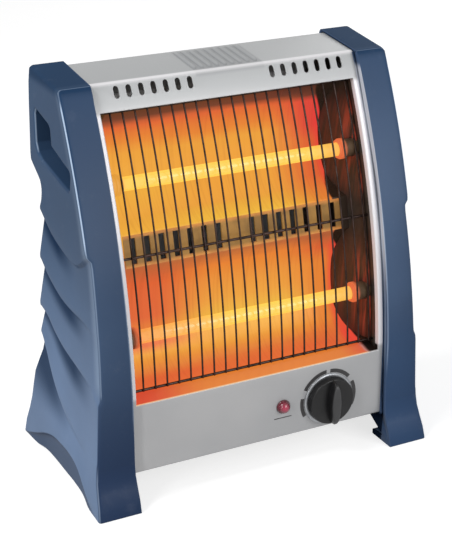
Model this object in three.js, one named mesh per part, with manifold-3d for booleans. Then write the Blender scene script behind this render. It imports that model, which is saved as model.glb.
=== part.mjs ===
// Two-bar quartz heater: bent steel casing between two moulded side panels.
// Millimetres. +X is the heater's left-to-right, the front faces -Y, +Z is up.
// Inside this file a point's y is its depth behind the front feet; the last
// lines move everything back by half the depth, so the origin is the middle
// of the footprint at floor level.
import * as THREE from 'three';
import { mergeVertices } from 'three/addons/utils/BufferGeometryUtils.js';
import Module from 'manifold-3d';

const wasm = await Module();
wasm.setup();

// ---------------------------------------------------------------- driving sizes
const CLEAR = 0.3;               // gap between pieces that seat on each other

// side view of the heater
const DEPTH = 168;               // front foot to rear foot
const CREASE_Z = 324;            // height where the front turns into the top
const TOP_RISE = 6;              // how much higher the top is at the back
const FRONT_Y = 11;              // depth of the straight lower front
const ARC_START_Z = 90;          // the front starts to lean back here
const ARC_RADIUS = 570;          // and follows this arc up to the crease
const ARC_LEAN = 3;              // degrees of lean where the arc starts
const TOE_HEIGHT = 36;           // the front foot flares forward below this

// side panels
const PANEL_INNER = 114;         // half width between the two front strips
const PANEL_WALL = 2.6;
const UPPER_BULGE = 27;          // the upper panels stand out by this much
const FLOOR_GAP = 0.6;           // underside of the panels above the floor
const FOOT_SLAB = 4.2;           // thickness of the foot soles
const FRONT_FOOT = 28;           // depth of the front foot
const REAR_FOOT = 30;            // depth of the rear foot
const PANEL_TAB = 2.5;           // thickness of the inner lip and the foot webs
const WEB_TOP_Z = 24.5;

// hand hold moulded into each panel
const POCKET_FLOOR_X = PANEL_INNER + 8;
const POCKET_WALL = 2.2;

// sheet metal
const FACE_SETBACK = 6;          // bezel behind the panels' front edges
const SHEET = 0.9;
const COVER_SHEET = 0.7;
const END_PLATE = 1.0;
const END_PLATE_X = PANEL_INNER - 2;
const BEZEL_REACH = PANEL_INNER + 3;   // half width of the bezel behind the lips
const BEZEL_BOTTOM = 26;
const TOP_SETBACK = 1.6;         // top plate below the panels' tops
const BEZEL_REAR = DEPTH - 40;   // the top plate ends here
const BEZEL_HEM = 13;            // hems at the bottom and at the back of the top
const COVER_Y = DEPTH - 58;      // rear cover, flat part
const COVER_KINK_Z = CREASE_Z - 68;    // the cover leans out to the top above this
const COVER_LEAN_TOP_Z = CREASE_Z - 24;
const COVER_SLOT_ROWS = [78, 108, 196];
const COVER_SLOT = { width: 5, height: 22, pitch: 15, count: 13 };

// vents above the window and louvres in the top
const VENT_COUNT = 7;
const VENT_PITCH = 10.15;
const VENT_CENTRE_X = 65.8;
const VENT_WIDTH = 3.6;
const VENT_HIGH = CREASE_Z - 4;
const VENT_LOW = VENT_HIGH - 8;
const LOUVRE_COUNT = 9;
const LOUVRE_PITCH = 6.6;
const LOUVRE_WIDTH = 2.6;
const LOUVRE_MARGIN = 7;

// window
const WINDOW_HALF = PANEL_INNER - 5;
const WINDOW_LOW = 88;
const WINDOW_HIGH = VENT_LOW - 9;
const SILL_DEPTH = 18;
const RETURN_DEPTH = 5;

// heating elements
const UPPER_TUBE_Z = WINDOW_HIGH - 57.2;
const LOWER_TUBE_Z = WINDOW_LOW + 41.4;
const TUBE_SETBACK = 29;         // tube axes behind the panels' front edges
const TUBE_R = 5.5;
const TUBE_WALL = 1.2;
const TUBE_HALF = PANEL_INNER - 14;
const COIL_R = 2.8;
const CAP_R = TUBE_R + 2;
const CAP_OVERLAP = 5;
const CAP_FACE_X = TUBE_HALF - CAP_OVERLAP;      // inner end of the ceramic caps
const CAP_OUTER_X = END_PLATE_X + 4.5;
const COLLAR_R = CAP_R + 1;      // collar near the inner end of each cap
const COLLAR_INSET = 2;
const COLLAR = 4;
const PIN_R = 1.5;
const PIN_END_X = POCKET_FLOOR_X - POCKET_WALL - CLEAR;
const PIN_NUT_R = 3.2;
const PIN_NUT = 1.8;

// flared end walls of the reflector, between the end plates and the troughs
const CHEEK_SHEET = 0.8;
const CHEEK_FRONT_X = END_PLATE_X - CLEAR - CHEEK_SHEET;
const CHEEK_REAR_X = TUBE_HALF - 3.7;
const CHEEK_FRONT_SETBACK = 22.3;
const CHEEK_REAR_SETBACK = 57;

// guard grille
const WIRE_COUNT = 22;
const WIRE_PITCH = 2 * (WINDOW_HALF - 1.4) / (WIRE_COUNT - 1);
const WIRE_R = 0.8;
const RAIL_R = 1.1;
const GRILLE_SETBACK = 19;       // wires behind the panels' front edges
const GRILLE_TOP = WINDOW_HIGH - 4;

// slotted strip between the two troughs
const STRIP_HALF = CHEEK_REAR_X;
const STRIP_SETBACK = 37;
const STRIP_MID_Z = (UPPER_TUBE_Z + LOWER_TUBE_Z) / 2 + 5;
const STRIP_HEIGHT = 24.5;
const STRIP_SHEET = 0.8;
const STRIP_SLOT = 5;
const STRIP_SLOT_PITCH = 12.3;
const STRIP_SLOT_FIRST = 15;
const STRIP_SLOT_COUNT = 7;
const STRIP_SLOT_MARGIN = 2.2;

// controls
const KNOB = { x: PANEL_INNER - 52, z: 51.6 };
const KNOB_R = 20.5;
const KNOB_FRONT_Y = 1.2;
const KNOB_DISC = 6;
const KNOB_GRIP = 8.4;
const KNOB_CAP = 3.5;            // material in front of the shaft
const SHAFT_R = 3;
const SHAFT_IN_SWITCH = 14;
const BUSH_R = 5;
const NUT_R = 7.6;
const NUT_THICK = 2.5;
const RING_R = KNOB_R + 2.1;
const RING_THICK = 1.2;
const SWITCH_BODY = 34;
const SWITCH_DEPTH = 24;
const LAMP = { x: KNOB.x - 42.4, z: 54 };
const LAMP_R = 6;
const LAMP_STEM_R = LAMP_R - 1.2;
const LAMP_STEM = 5;
const LAMP_BODY_LENGTH = 20;

// tip-over switch on the base plate
const TIP = { x: PANEL_INNER - 90, y: COVER_Y - 22 };
const TIP_SIZE = { x: 24, y: 16, z: 34 };
const TIP_WALL = 3;
const PLUNGER_R = 3;
const PLUNGER_FOOT_R = 7;
const PLUNGER_FOOT = 3;
const PLUNGER_TRAVEL = 5;
const PLUNGER_RISE = 16;         // stem above the base plate
const SPRING_R = 5;

// mains inlet
const GLAND = { x: 52 - PANEL_INNER, z: 52 };
const GLAND_BORE_R = 3.5;
const GLAND_NECK_R = GLAND_BORE_R + 3;
const GLAND_FLANGE_R = GLAND_NECK_R + 2.5;
const GLAND_FLANGE = 3;
const BLOCK = { x: GLAND.x, y: COVER_Y - 38, w: 36, d: 18, h: 15 };
const BLOCK_POLE = 11.25;        // pitch of the three poles
const LEAD_R = 1.2;
const FEED_HOLES = {             // where the leads pass the end plates
  near: { y: FRONT_Y + 41, z: 68 }, far: { y: FRONT_Y + 53, z: 74 },
};

// fasteners
const SCREW_R = 1.5;
const SCREW_HEAD_R = 3.2;
const SCREW_HEAD = 1.8;
const BOSS_R = 4.5;
const BOSS_DEPTH = 12;
const COVER_SCREWS = { x: END_PLATE_X - 4.5, low: 60, high: CREASE_Z - 118 };
const PAD_THICK = 2;
const PAD_MARGIN = 3;

// --------------------------------------------------------------------- finishes
const finish = (name, color, roughness, metalness = 0) =>
  new THREE.MeshStandardMaterial({ name, color, roughness, metalness });
const FINISH = {
  blue: finish('blue_plastic', 0x43587a, 0.45),
  grey: finish('grey_paint', 0xbdbdbd, 0.4, 0.3),
  inner: finish('dark_steel', 0x3a322c, 0.6, 0.6),
  mirror: finish('bright_sheet', 0xd8a860, 0.2, 1),
  strip: finish('tinted_strip', 0x8a6c2e, 0.5, 0.5),
  wire: finish('chromed_wire', 0x6a6460, 0.3, 1),
  glass: finish('quartz', 0xffe070, 0.3),
  coil: finish('element_wire', 0xffb040, 0.5, 0.5),
  ceramic: finish('ceramic', 0xe6ddcc, 0.7),
  brass: finish('brass', 0xc8a050, 0.35, 1),
  black: finish('black_plastic', 0x262626, 0.5),
  silver: finish('silver_ring', 0xc8c8cc, 0.3, 0.8),
  lens: finish('red_lens', 0xc02040, 0.2),
  rubber: finish('rubber', 0x1c1c1c, 0.9),
  zinc: finish('zinc', 0xb0b4b8, 0.35, 1),
  lead: finish('lead_sleeve', 0xd8d2c4, 0.7),
};

// ---------------------------------------------------------------- shape helpers
const toRad = THREE.MathUtils.degToRad;
const lerp = THREE.MathUtils.lerp;

function solidOf(geometry) {
  const bare = geometry.clone();
  bare.deleteAttribute('normal');
  bare.deleteAttribute('uv');
  const merged = mergeVertices(bare.index ? bare.toNonIndexed() : bare, 1e-4);
  return new wasm.Manifold(new wasm.Mesh({
    numProp: 3,
    vertProperties: new Float32Array(merged.attributes.position.array),
    triVerts: new Uint32Array(merged.index.array),
  }));
}

function geometryOf(solid) {
  const mesh = solid.getMesh();
  const geometry = new THREE.BufferGeometry();
  geometry.setAttribute('position', new THREE.BufferAttribute(new Float32Array(mesh.vertProperties), 3));
  geometry.setIndex(new THREE.BufferAttribute(new Uint32Array(mesh.triVerts), 1));
  geometry.computeVertexNormals();
  return geometry;
}

const joined = (...solids) => solids.reduce((sum, one) => sum.add(one));
const cutBy = (solid, cutters) => cutters.reduce((rest, one) => rest.subtract(one), solid);

// an extruded outline, turned so that its own x, y, z lie along the three given axes
function extruded(outline, length, xAxis, yAxis, zAxis, offset, curveSegments = 8) {
  const shape = outline instanceof THREE.Shape ? outline
    : new THREE.Shape(outline.map(([a, b]) => new THREE.Vector2(a, b)));
  const geometry = new THREE.ExtrudeGeometry(shape, { depth: length, bevelEnabled: false, curveSegments });
  geometry.applyMatrix4(new THREE.Matrix4().makeBasis(xAxis, yAxis, zAxis).setPosition(offset));
  return geometry;
}

const X = new THREE.Vector3(1, 0, 0);
const Y = new THREE.Vector3(0, 1, 0);
const Z = new THREE.Vector3(0, 0, 1);

// side-view outline (y, z) between x0 and x1
const alongX = (outline, x0, x1, segments) =>
  solidOf(extruded(outline, x1 - x0, Y, Z, X, new THREE.Vector3(x0, 0, 0), segments));

function box(x0, x1, y0, y1, z0, z1) {
  const geometry = new THREE.BoxGeometry(x1 - x0, y1 - y0, z1 - z0);
  geometry.translate((x0 + x1) / 2, (y0 + y1) / 2, (z0 + z1) / 2);
  return solidOf(geometry);
}

function rod(axis, radius, from, to, a, b, sides = 16) {
  const geometry = new THREE.CylinderGeometry(radius, radius, to - from, sides);
  const mid = (from + to) / 2;
  if (axis === 'x') geometry.rotateZ(Math.PI / 2).translate(mid, a, b);
  if (axis === 'y') geometry.translate(a, mid, b);
  if (axis === 'z') geometry.rotateX(Math.PI / 2).translate(a, b, mid);
  return solidOf(geometry);
}

// a turned piece on an axis along y: profile of [radius, depth] from its back to its front
function turned(profile, x, z, sides = 24) {
  const points = profile.map(([r, d]) => new THREE.Vector2(r, d)).reverse();
  const geometry = new THREE.LatheGeometry([...points, points[0]], sides);
  geometry.applyMatrix4(new THREE.Matrix4().makeBasis(X, Y, Z).setPosition(x, 0, z));
  return geometry;
}

function mirrored(geometry) {
  const copy = geometry.index ? geometry.toNonIndexed() : geometry.clone();
  const at = copy.attributes.position;
  for (let i = 0; i < at.count; i += 3) {
    const [a, b, c] = [0, 1, 2].map((k) => [-at.getX(i + k), at.getY(i + k), at.getZ(i + k)]);
    [a, c, b].forEach((p, k) => at.setXYZ(i + k, ...p));
  }
  const merged = mergeVertices(stripped(copy), 1e-4);
  merged.computeVertexNormals();
  return merged;
}

function stripped(geometry) {
  geometry.deleteAttribute('normal');
  geometry.deleteAttribute('uv');
  return geometry;
}

// an outline moved outwards by a distance (inwards when negative), corners mitred
function offsetOutline(points, distance) {
  const n = points.length;
  return points.map(([px, py], i) => {
    const [ax, ay] = points[(i + n - 1) % n];
    const [bx, by] = points[(i + 1) % n];
    const d0 = new THREE.Vector2(px - ax, py - ay).normalize();
    const d1 = new THREE.Vector2(bx - px, by - py).normalize();
    const n0 = new THREE.Vector2(d0.y, -d0.x);
    const n1 = new THREE.Vector2(d1.y, -d1.x);
    const mitre = n0.clone().add(n1);
    mitre.multiplyScalar(distance / Math.max(0.3, 1 + n0.dot(n1)));
    return [px + mitre.x, py + mitre.y];
  });
}

// a bent sheet: the outer line of the bends, with the sheet's thickness to its right
function bentSheet(points, thickness) {
  const inner = points.map(([y, z], i) => {
    const [ay, az] = points[Math.max(i - 1, 0)];
    const [by, bz] = points[Math.min(i + 1, points.length - 1)];
    const before = new THREE.Vector2(y - ay, z - az).normalize();
    const after = new THREE.Vector2(by - y, bz - z).normalize();
    const n0 = i === 0 ? after : before;
    const n1 = i === points.length - 1 ? before : after;
    const r0 = new THREE.Vector2(n0.y, -n0.x);
    const r1 = new THREE.Vector2(n1.y, -n1.x);
    const mitre = r0.clone().add(r1).multiplyScalar(thickness / (1 + r0.dot(r1)));
    return [y + mitre.x, z + mitre.y];
  });
  return [...inner, ...points.slice().reverse()];
}

const span = (from, to, steps) => Array.from({ length: steps + 1 }, (_, i) => lerp(from, to, i / steps));

// smooth curve through values that are evenly spaced over 0..1
function through(values) {
  const at = (i) => values[THREE.MathUtils.clamp(i, 0, values.length - 1)];
  return (t) => {
    const s = t * (values.length - 1);
    const i = Math.min(Math.floor(s), values.length - 2);
    const f = s - i;
    const m0 = (at(i + 1) - at(i - 1)) / 2;
    const m1 = (at(i + 2) - at(i)) / 2;
    return at(i) * (2 * f ** 3 - 3 * f ** 2 + 1) + m0 * (f ** 3 - 2 * f ** 2 + f)
      + at(i + 1) * (3 * f ** 2 - 2 * f ** 3) + m1 * (f ** 3 - f ** 2);
  };
}

// ------------------------------------------------------------- the side outline
const arcSin = (z) => Math.sin(toRad(ARC_LEAN)) + (z - ARC_START_Z) / ARC_RADIUS;

// depth of the panels' front edge at a height
function frontY(z) {
  const low = Math.min(z, CREASE_Z);
  if (low >= ARC_START_Z) {
    return FRONT_Y + ARC_RADIUS * (Math.cos(toRad(ARC_LEAN)) - Math.sqrt(1 - arcSin(low) ** 2));
  }
  return FRONT_Y * THREE.MathUtils.smoothstep(low, 0, TOE_HEIGHT);
}

const CREASE_Y = frontY(CREASE_Z);

// depth of the panels' back edge: rear foot, waist, and the bump behind the hand hold
const BACK_EDGE = [
  [0, 0], [8, 0.4], [20, 6], [35, 12], [50, 14.5], [63, 15.5], [74, 21], [93, 31], [107, 33.5],
  [130, 32], [165, 35.5], [CREASE_Z - 118, 40], [CREASE_Z - 110, 41], [CREASE_Z - 99, 47.5],
  [CREASE_Z - 90, 49], [CREASE_Z - 83, 46.5], [CREASE_Z - 77, 36.5], [CREASE_Z - 71, 26.5],
  [CREASE_Z - 48, 28], [CREASE_Z - 24, 29.5], [CREASE_Z - 8, 31], [CREASE_Z + TOP_RISE, 35],
].map(([z, inset]) => [z, DEPTH - inset]);
function backY(z) {
  const last = BACK_EDGE.length - 1;
  if (z <= BACK_EDGE[0][0]) return BACK_EDGE[0][1];
  if (z >= BACK_EDGE[last][0]) return BACK_EDGE[last][1];
  const i = BACK_EDGE.findIndex(([height]) => height > z) - 1;
  const [[z0, y0], [z1, y1]] = [BACK_EDGE[i], BACK_EDGE[i + 1]];
  return lerp(y0, y1, (z - z0) / (z1 - z0));
}
const TOP_BACK_Y = backY(CREASE_Z + TOP_RISE);
const tubeAt = (z) => ({ y: frontY(z) + TUBE_SETBACK, z });
const UPPER_TUBE = tubeAt(UPPER_TUBE_Z);
const LOWER_TUBE = tubeAt(LOWER_TUBE_Z);
const topZ = (y) => CREASE_Z + TOP_RISE * (y - CREASE_Y) / (TOP_BACK_Y - CREASE_Y);
const TOP_BOSS_DROP = 17;
const PANEL_BOSSES = [
  { name: 'front', y: FRONT_Y + 23, z: 46 }, { name: 'rear', y: COVER_Y - 13, z: 46 },
  { name: 'middle', y: COVER_Y - 6, z: CREASE_Z - 104 },
  { name: 'top', y: frontY(CREASE_Z - TOP_BOSS_DROP) + 29.5, z: CREASE_Z - TOP_BOSS_DROP },
];

// ------------------------------------------------------------------ side panels
// Rows of the outer face from the soles to the top. Each row gives its height and
// how far it stands out from the inner edge, at even shares from front to back.
// Rows that lie close together are the overlapping steps of the moulded swoops.
const RIM_Z = [1.5, 7, 24, 28.5, 28.5, 27, 20.5, 10, 1.5];
const even = (value) => span(0, 8, 8).map(() => value);
const belowTop = (drop) => span(0, 8, 8).map((i) => CREASE_Z + TOP_RISE * i / 8 - drop);
const PANEL_ROWS = [
  { z: [0, 0, 2.5, 3, 3, 3, 2.5, 0, 0], x: [35.5, 35, 32.5, 31.5, 31.5, 31.5, 32, 34.5, 35] },
  { z: RIM_Z, x: [36, 35.4, 33.2, 32.2, 32, 32, 33, 35, 36] },
  { z: [38, 38, 40, 41, 42, 45, 47, 49, 52], x: [32, 31.5, 31, 30.6, 30.4, 30.2, 30, 30, 30.6] },
  { z: [42, 41.5, 43, 44, 46, 50, 52, 55, 59], x: [31.6, 31, 30.6, 30, 28.8, 27.6, 26.8, 26.2, 26] },
  { z: [46, 46, 46, 48, 50, 57, 67, 79, 93], x: [31, 30.6, 30.2, 29.8, 29.2, 28.6, 28, 27.6, 27.2] },
  { z: [90, 95, 98, 100, 102, 105, 110, 116, 127], x: [28.6, 27.2, 26, 25, 24.4, 24, 24, 24.2, 24.8] },
  { z: [96, 98.5, 101, 103.5, 106, 109, 114.5, 120.5, 132],
    x: [26.6, 26.6, 26.8, 27, 27.2, 27.2, 27, 26.6, 26.2] },
  { z: [142, 141, 140.5, 140, 140.5, 142.5, 146, 152, 167],
    x: [25, 24.6, 24, 23.4, 23, 22.8, 22.8, 23.2, 23.8] },
  { z: [146, 144.5, 144, 144, 144.5, 146.5, 150, 157, 173],
    x: [25, 25, 25.2, 25.6, 25.8, 26, 25.8, 25.6, 25.4] },
  { z: [202, 195, 190, 187.5, 186.5, 187, 189.5, 195, 207],
    x: [23.4, 23.2, 23, 22.8, 22.8, 22.8, 22.8, 23, 23.6] },
  { z: [208, 199.5, 194, 191.5, 190.5, 191, 194, 200, 213],
    x: [27, 26.6, 26.4, 26.4, 26.4, 26.4, 26.2, 25.8, 25.2] },
  { z: even(CREASE_Z - 83), x: even(UPPER_BULGE) },
  { z: even(CREASE_Z - 71), x: even(UPPER_BULGE) },
  { z: belowTop(3.5), x: even(UPPER_BULGE) },
  { z: belowTop(0), x: even(UPPER_BULGE - 2) },
];
const ROW_SPLITS = [1, 2, 1, 2, 4, 1, 3, 1, 3, 1, 3, 2, 4, 1];
const EDGE_ROUND = 2;
const BACK_ROUND = 1.2;
const PANEL_SHARES = [0, 0.022, 0.12, 0.24, 0.36, 0.48, 0.6, 0.72, 0.83, 0.93, 1];

function panelRows() {
  const keys = PANEL_ROWS.map(({ z, x }) => ({ z: through(z), x: through(x) }));
  const rows = [];
  keys.slice(0, -1).forEach((low, k) => {
    const high = keys[k + 1];
    span(0, 1, ROW_SPLITS[k]).slice(0, -1).forEach((f) => {
      rows.push({ z: (u) => lerp(low.z(u), high.z(u), f), x: (u) => lerp(low.x(u), high.x(u), f) });
    });
  });
  return [...rows, keys[keys.length - 1]];
}

// closes a grid of outer points with side walls and a flat inner face at x = inner
function closedPatch(grid, inner) {
  const rows = grid.length;
  const cols = grid[0].length;
  const points = grid.flat();
  const id = (r, c) => r * cols + c;
  const faces = [];
  for (let r = 0; r < rows - 1; r += 1) {
    for (let c = 0; c < cols - 1; c += 1) {
      faces.push([id(r, c), id(r, c + 1), id(r + 1, c + 1)], [id(r, c), id(r + 1, c + 1), id(r + 1, c)]);
    }
  }
  const ring = [];
  for (let c = 0; c < cols - 1; c += 1) ring.push(id(0, c));
  for (let r = 0; r < rows - 1; r += 1) ring.push(id(r, cols - 1));
  for (let c = cols - 1; c > 0; c -= 1) ring.push(id(rows - 1, c));
  for (let r = rows - 1; r > 0; r -= 1) ring.push(id(r, 0));
  const base = points.length;
  ring.forEach((i) => points.push([inner, points[i][1], points[i][2]]));
  ring.forEach((a, k) => {
    const b = ring[(k + 1) % ring.length];
    const [a2, b2] = [base + k, base + (k + 1) % ring.length];
    faces.push([a2, b2, b], [a2, b, a]);
  });
  const contour = ring.map((i) => new THREE.Vector2(points[i][1], points[i][2]));
  THREE.ShapeUtils.triangulateShape(contour, []).forEach(([a, b, c]) => {
    faces.push([base + a, base + c, base + b]);
  });
  const geometry = new THREE.BufferGeometry();
  geometry.setAttribute('position', new THREE.Float32BufferAttribute(points.flat(), 3));
  geometry.setIndex(faces.flat());
  return solidOf(geometry);
}

function panelOuter() {
  const grid = panelRows().map((row) => PANEL_SHARES.map((u) => {
    const z = Math.max(row.z(u), FLOOR_GAP);
    const [y0, y1] = [frontY(z), backY(z)];
    const y = u === PANEL_SHARES[1] ? y0 + EDGE_ROUND : lerp(y0, y1, u);
    const round = (u === 0 ? EDGE_ROUND : 0) + (u === 1 ? BACK_ROUND : 0);
    return [PANEL_INNER + row.x(u) - round, y, z];
  }));
  return closedPatch(grid, PANEL_INNER);
}

// the hollow inside a panel follows its outline and a plain version of its width
const CORE_BULGE = [
  [0, 28.4], [30, 28], [44, 22.4], [93, 21], [131, 20], [172, 19.6], [206, 19.4], [216, 22],
  [222, UPPER_BULGE - 3], [CREASE_Z + TOP_RISE, UPPER_BULGE - 3],
];
const HOLLOW_TOP = 12;           // the hollow's walls end this far below the crease

function coreX(z) {
  const next = CORE_BULGE.findIndex(([height]) => height > z);
  const i = THREE.MathUtils.clamp(next, 1, CORE_BULGE.length - 1);
  const [[z0, x0], [z1, x1]] = [CORE_BULGE[i - 1], CORE_BULGE[i]];
  return PANEL_INNER + lerp(x0, x1, THREE.MathUtils.clamp((z - z0) / (z1 - z0), 0, 1));
}

function panelHollow() {
  const low = FLOOR_GAP + FOOT_SLAB;
  const high = CREASE_Z - HOLLOW_TOP;
  const kinks = [low, ...BACK_EDGE.map(([z]) => z), ...CORE_BULGE.map(([z]) => z), high];
  const heights = [...new Set(kinks)].filter((z) => z >= low && z <= high).sort((p, q) => p - q);
  const shares = [0, 0.3, 0.65, 1];
  const grid = heights.map((z) => shares.map((u) =>
    [coreX(z), lerp(frontY(z) + PANEL_WALL + CLEAR, backY(z) - PANEL_WALL - BACK_ROUND, u), z]));
  const topRow = shares.map((u) => {
    const y = lerp(CREASE_Y + PANEL_WALL, TOP_BACK_Y - PANEL_WALL - BACK_ROUND, u);
    return [coreX(CREASE_Z) - 1, y, topZ(y) - PANEL_WALL];
  });
  return closedPatch([...grid, topRow], PANEL_INNER + PANEL_TAB);
}

// the opening in the inner face, inside the lip that presses on the bezel
function panelMouth() {
  const lip = FACE_SETBACK - CLEAR;
  const rim = PANEL_WALL + BACK_ROUND;
  const topInner = (y) => topZ(y) - PANEL_WALL;
  const front = span(WEB_TOP_Z, CREASE_Z - 6, 14).map((z) => [frontY(z) + lip, z]);
  const corner = [CREASE_Y + lip - 1, topInner(CREASE_Y + lip)];
  const back = BACK_EDGE.filter(([z]) => z > WEB_TOP_Z && z < CREASE_Z - 4)
    .map(([z, y]) => [y - rim, z]).reverse();
  const topBack = [TOP_BACK_Y - rim, topInner(TOP_BACK_Y - rim)];
  const outline = [...front, corner, topBack, ...back, [backY(WEB_TOP_Z) - rim, WEB_TOP_Z]];
  return alongX(outline.reverse(), PANEL_INNER - 1, PANEL_INNER + PANEL_TAB + 0.1);
}

// the arch under the inner face, between the soles of the two feet
const ARCH_END = 12;             // the arch starts this far from either end
const ARCH_KNEE = 26;
const ARCH_SHOULDER = 50;
const REAR_FOOT_Y = DEPTH - REAR_FOOT;

function footArch() {
  const sole = FLOOR_GAP + FOOT_SLAB;
  const outline = new THREE.Shape();
  outline.moveTo(FRONT_FOOT, -1).lineTo(REAR_FOOT_Y, -1).lineTo(REAR_FOOT_Y, sole);
  outline.lineTo(DEPTH - ARCH_END, sole + 1);
  outline.quadraticCurveTo(DEPTH - ARCH_KNEE, sole + 9, DEPTH - ARCH_SHOULDER, WEB_TOP_Z + 1);
  outline.lineTo(ARCH_SHOULDER, WEB_TOP_Z + 1);
  outline.quadraticCurveTo(ARCH_KNEE, sole + 9, ARCH_END, sole + 1);
  outline.lineTo(FRONT_FOOT, sole);
  outline.closePath();
  return alongX(outline, PANEL_INNER - 1, PANEL_INNER + PANEL_TAB + 0.2, 5);
}

// outline of the hand hold: a slanting slot that widens towards the back,
// given by each point's distance ahead of the rear foot and below the crease
const POCKET = [
  [109, 75], [104, 75.5], [52, 59.5], [45, 58], [41.5, 31], [44, 26.5], [71, 32.5], [73.5, 35],
  [75, 45.5], [110, 68.5],
].map(([ahead, below]) => [DEPTH - ahead, CREASE_Z - below]);

function sidePanel() {
  const outer = PANEL_INNER + UPPER_BULGE;
  const pocketRoom = alongX(POCKET, POCKET_FLOOR_X, outer + 5);
  const pocketShell = alongX(offsetOutline(POCKET, POCKET_WALL), POCKET_FLOOR_X - POCKET_WALL, outer - 1.5);
  const sole = FLOOR_GAP + FOOT_SLAB;
  const floorCut = box(PANEL_INNER + PANEL_TAB, coreX(0), FRONT_FOOT, REAR_FOOT_Y, -1, sole + 1);
  const padRooms = padSpans().map(([y0, y1]) => {
    const [x0, x1] = padWidth();
    return box(x0 - CLEAR, x1 + CLEAR, y0 - CLEAR, y1 + CLEAR, -1, PAD_THICK + CLEAR);
  });
  const shell = cutBy(panelOuter(), [panelHollow(), panelMouth(), floorCut, footArch(), ...padRooms]);
  const start = END_PLATE_X + END_PLATE + CLEAR;
  const bosses = PANEL_BOSSES.map(({ y, z }) => rod('x', BOSS_R, start, coreX(z) + 1.5, y, z, 12));
  const pilots = PANEL_BOSSES.map(({ y, z }) =>
    rod('x', SCREW_R + CLEAR, start - 1, start + BOSS_DEPTH, y, z, 8));
  return geometryOf(cutBy(joined(shell, pocketShell, ...bosses), [pocketRoom, ...pilots]));
}

// ------------------------------------------------------------------ sheet metal
const bezelLine = (z) => frontY(Math.max(z, TOE_HEIGHT)) + FACE_SETBACK;
const plateZ = (y) => topZ(y) - TOP_SETBACK;
const BEZEL_CREASE_Z = plateZ(CREASE_Y + FACE_SETBACK);

function bezel() {
  const face = bezelLine(BEZEL_BOTTOM);
  const arc = span(ARC_START_Z, BEZEL_CREASE_Z, 13).map((z) => [bezelLine(z), z]);
  const rear = plateZ(BEZEL_REAR);
  const path = [[face + BEZEL_HEM, BEZEL_BOTTOM], [face, BEZEL_BOTTOM], ...arc,
    [BEZEL_REAR, rear], [BEZEL_REAR, rear - BEZEL_HEM]];
  const sheet = alongX(bentSheet(path, SHEET), -BEZEL_REACH, BEZEL_REACH);
  const window = box(-WINDOW_HALF, WINDOW_HALF, 0, CREASE_Y + 9, WINDOW_LOW, WINDOW_HIGH);
  const topEdge = PANEL_INNER - CLEAR;
  const shoulders = [-1, 1].map((side) => {
    const [a, b] = [side * topEdge, side * (BEZEL_REACH + 1)].sort((p, q) => p - q);
    return box(a, b, 0, DEPTH, BEZEL_CREASE_Z - PANEL_WALL - 1.5, rear + 1);
  });
  const vents = [-1, 1].flatMap((side) => span(0, VENT_COUNT - 1, VENT_COUNT - 1).map((i) => {
    const x = side * VENT_CENTRE_X + (i - (VENT_COUNT - 1) / 2) * VENT_PITCH;
    return box(x - VENT_WIDTH / 2, x + VENT_WIDTH / 2, 0, CREASE_Y + 20, VENT_LOW, VENT_HIGH);
  }));
  const louvres = span(0, LOUVRE_COUNT - 1, LOUVRE_COUNT - 1).map((i) => {
    const x = (i - (LOUVRE_COUNT - 1) / 2) * LOUVRE_PITCH;
    const from = CREASE_Y + FACE_SETBACK + LOUVRE_MARGIN;
    return box(x - LOUVRE_WIDTH / 2, x + LOUVRE_WIDTH / 2, from, BEZEL_REAR - LOUVRE_MARGIN,
      BEZEL_CREASE_Z - 3, rear + 1);
  });
  const holes = [
    rod('y', BUSH_R + CLEAR, 0, face + 5, KNOB.x, KNOB.z, 20),
    rod('y', LAMP_STEM_R + CLEAR, 0, face + 5, LAMP.x, LAMP.z, 20),
  ];
  const sill = box(-WINDOW_HALF, WINDOW_HALF, bezelLine(WINDOW_LOW) + SHEET / 2,
    bezelLine(WINDOW_LOW) + SILL_DEPTH, WINDOW_LOW - SHEET, WINDOW_LOW);
  const returns = [-1, 1].map((side) => {
    const line = span(WINDOW_LOW - SHEET, WINDOW_HIGH + SHEET, 10);
    const outline = [...line.map((z) => [bezelLine(z) + RETURN_DEPTH, z]),
      ...line.reverse().map((z) => [bezelLine(z) + SHEET / 2, z])];
    const [a, b] = [side * WINDOW_HALF, side * (WINDOW_HALF + SHEET)].sort((p, q) => p - q);
    return alongX(outline, a, b);
  });
  const lintel = box(-WINDOW_HALF, WINDOW_HALF, bezelLine(WINDOW_HIGH) + SHEET / 2,
    bezelLine(WINDOW_HIGH) + RETURN_DEPTH, WINDOW_HIGH, WINDOW_HIGH + SHEET);
  const cut = cutBy(sheet, [window, ...shoulders, ...vents, ...louvres, ...holes]);
  return geometryOf(joined(cut, sill, ...returns, lintel));
}

const COVER_TOP = { y: BEZEL_REAR - SHEET - CLEAR, z: plateZ(BEZEL_REAR - 2 * SHEET) - SHEET - 2 * CLEAR };

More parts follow.
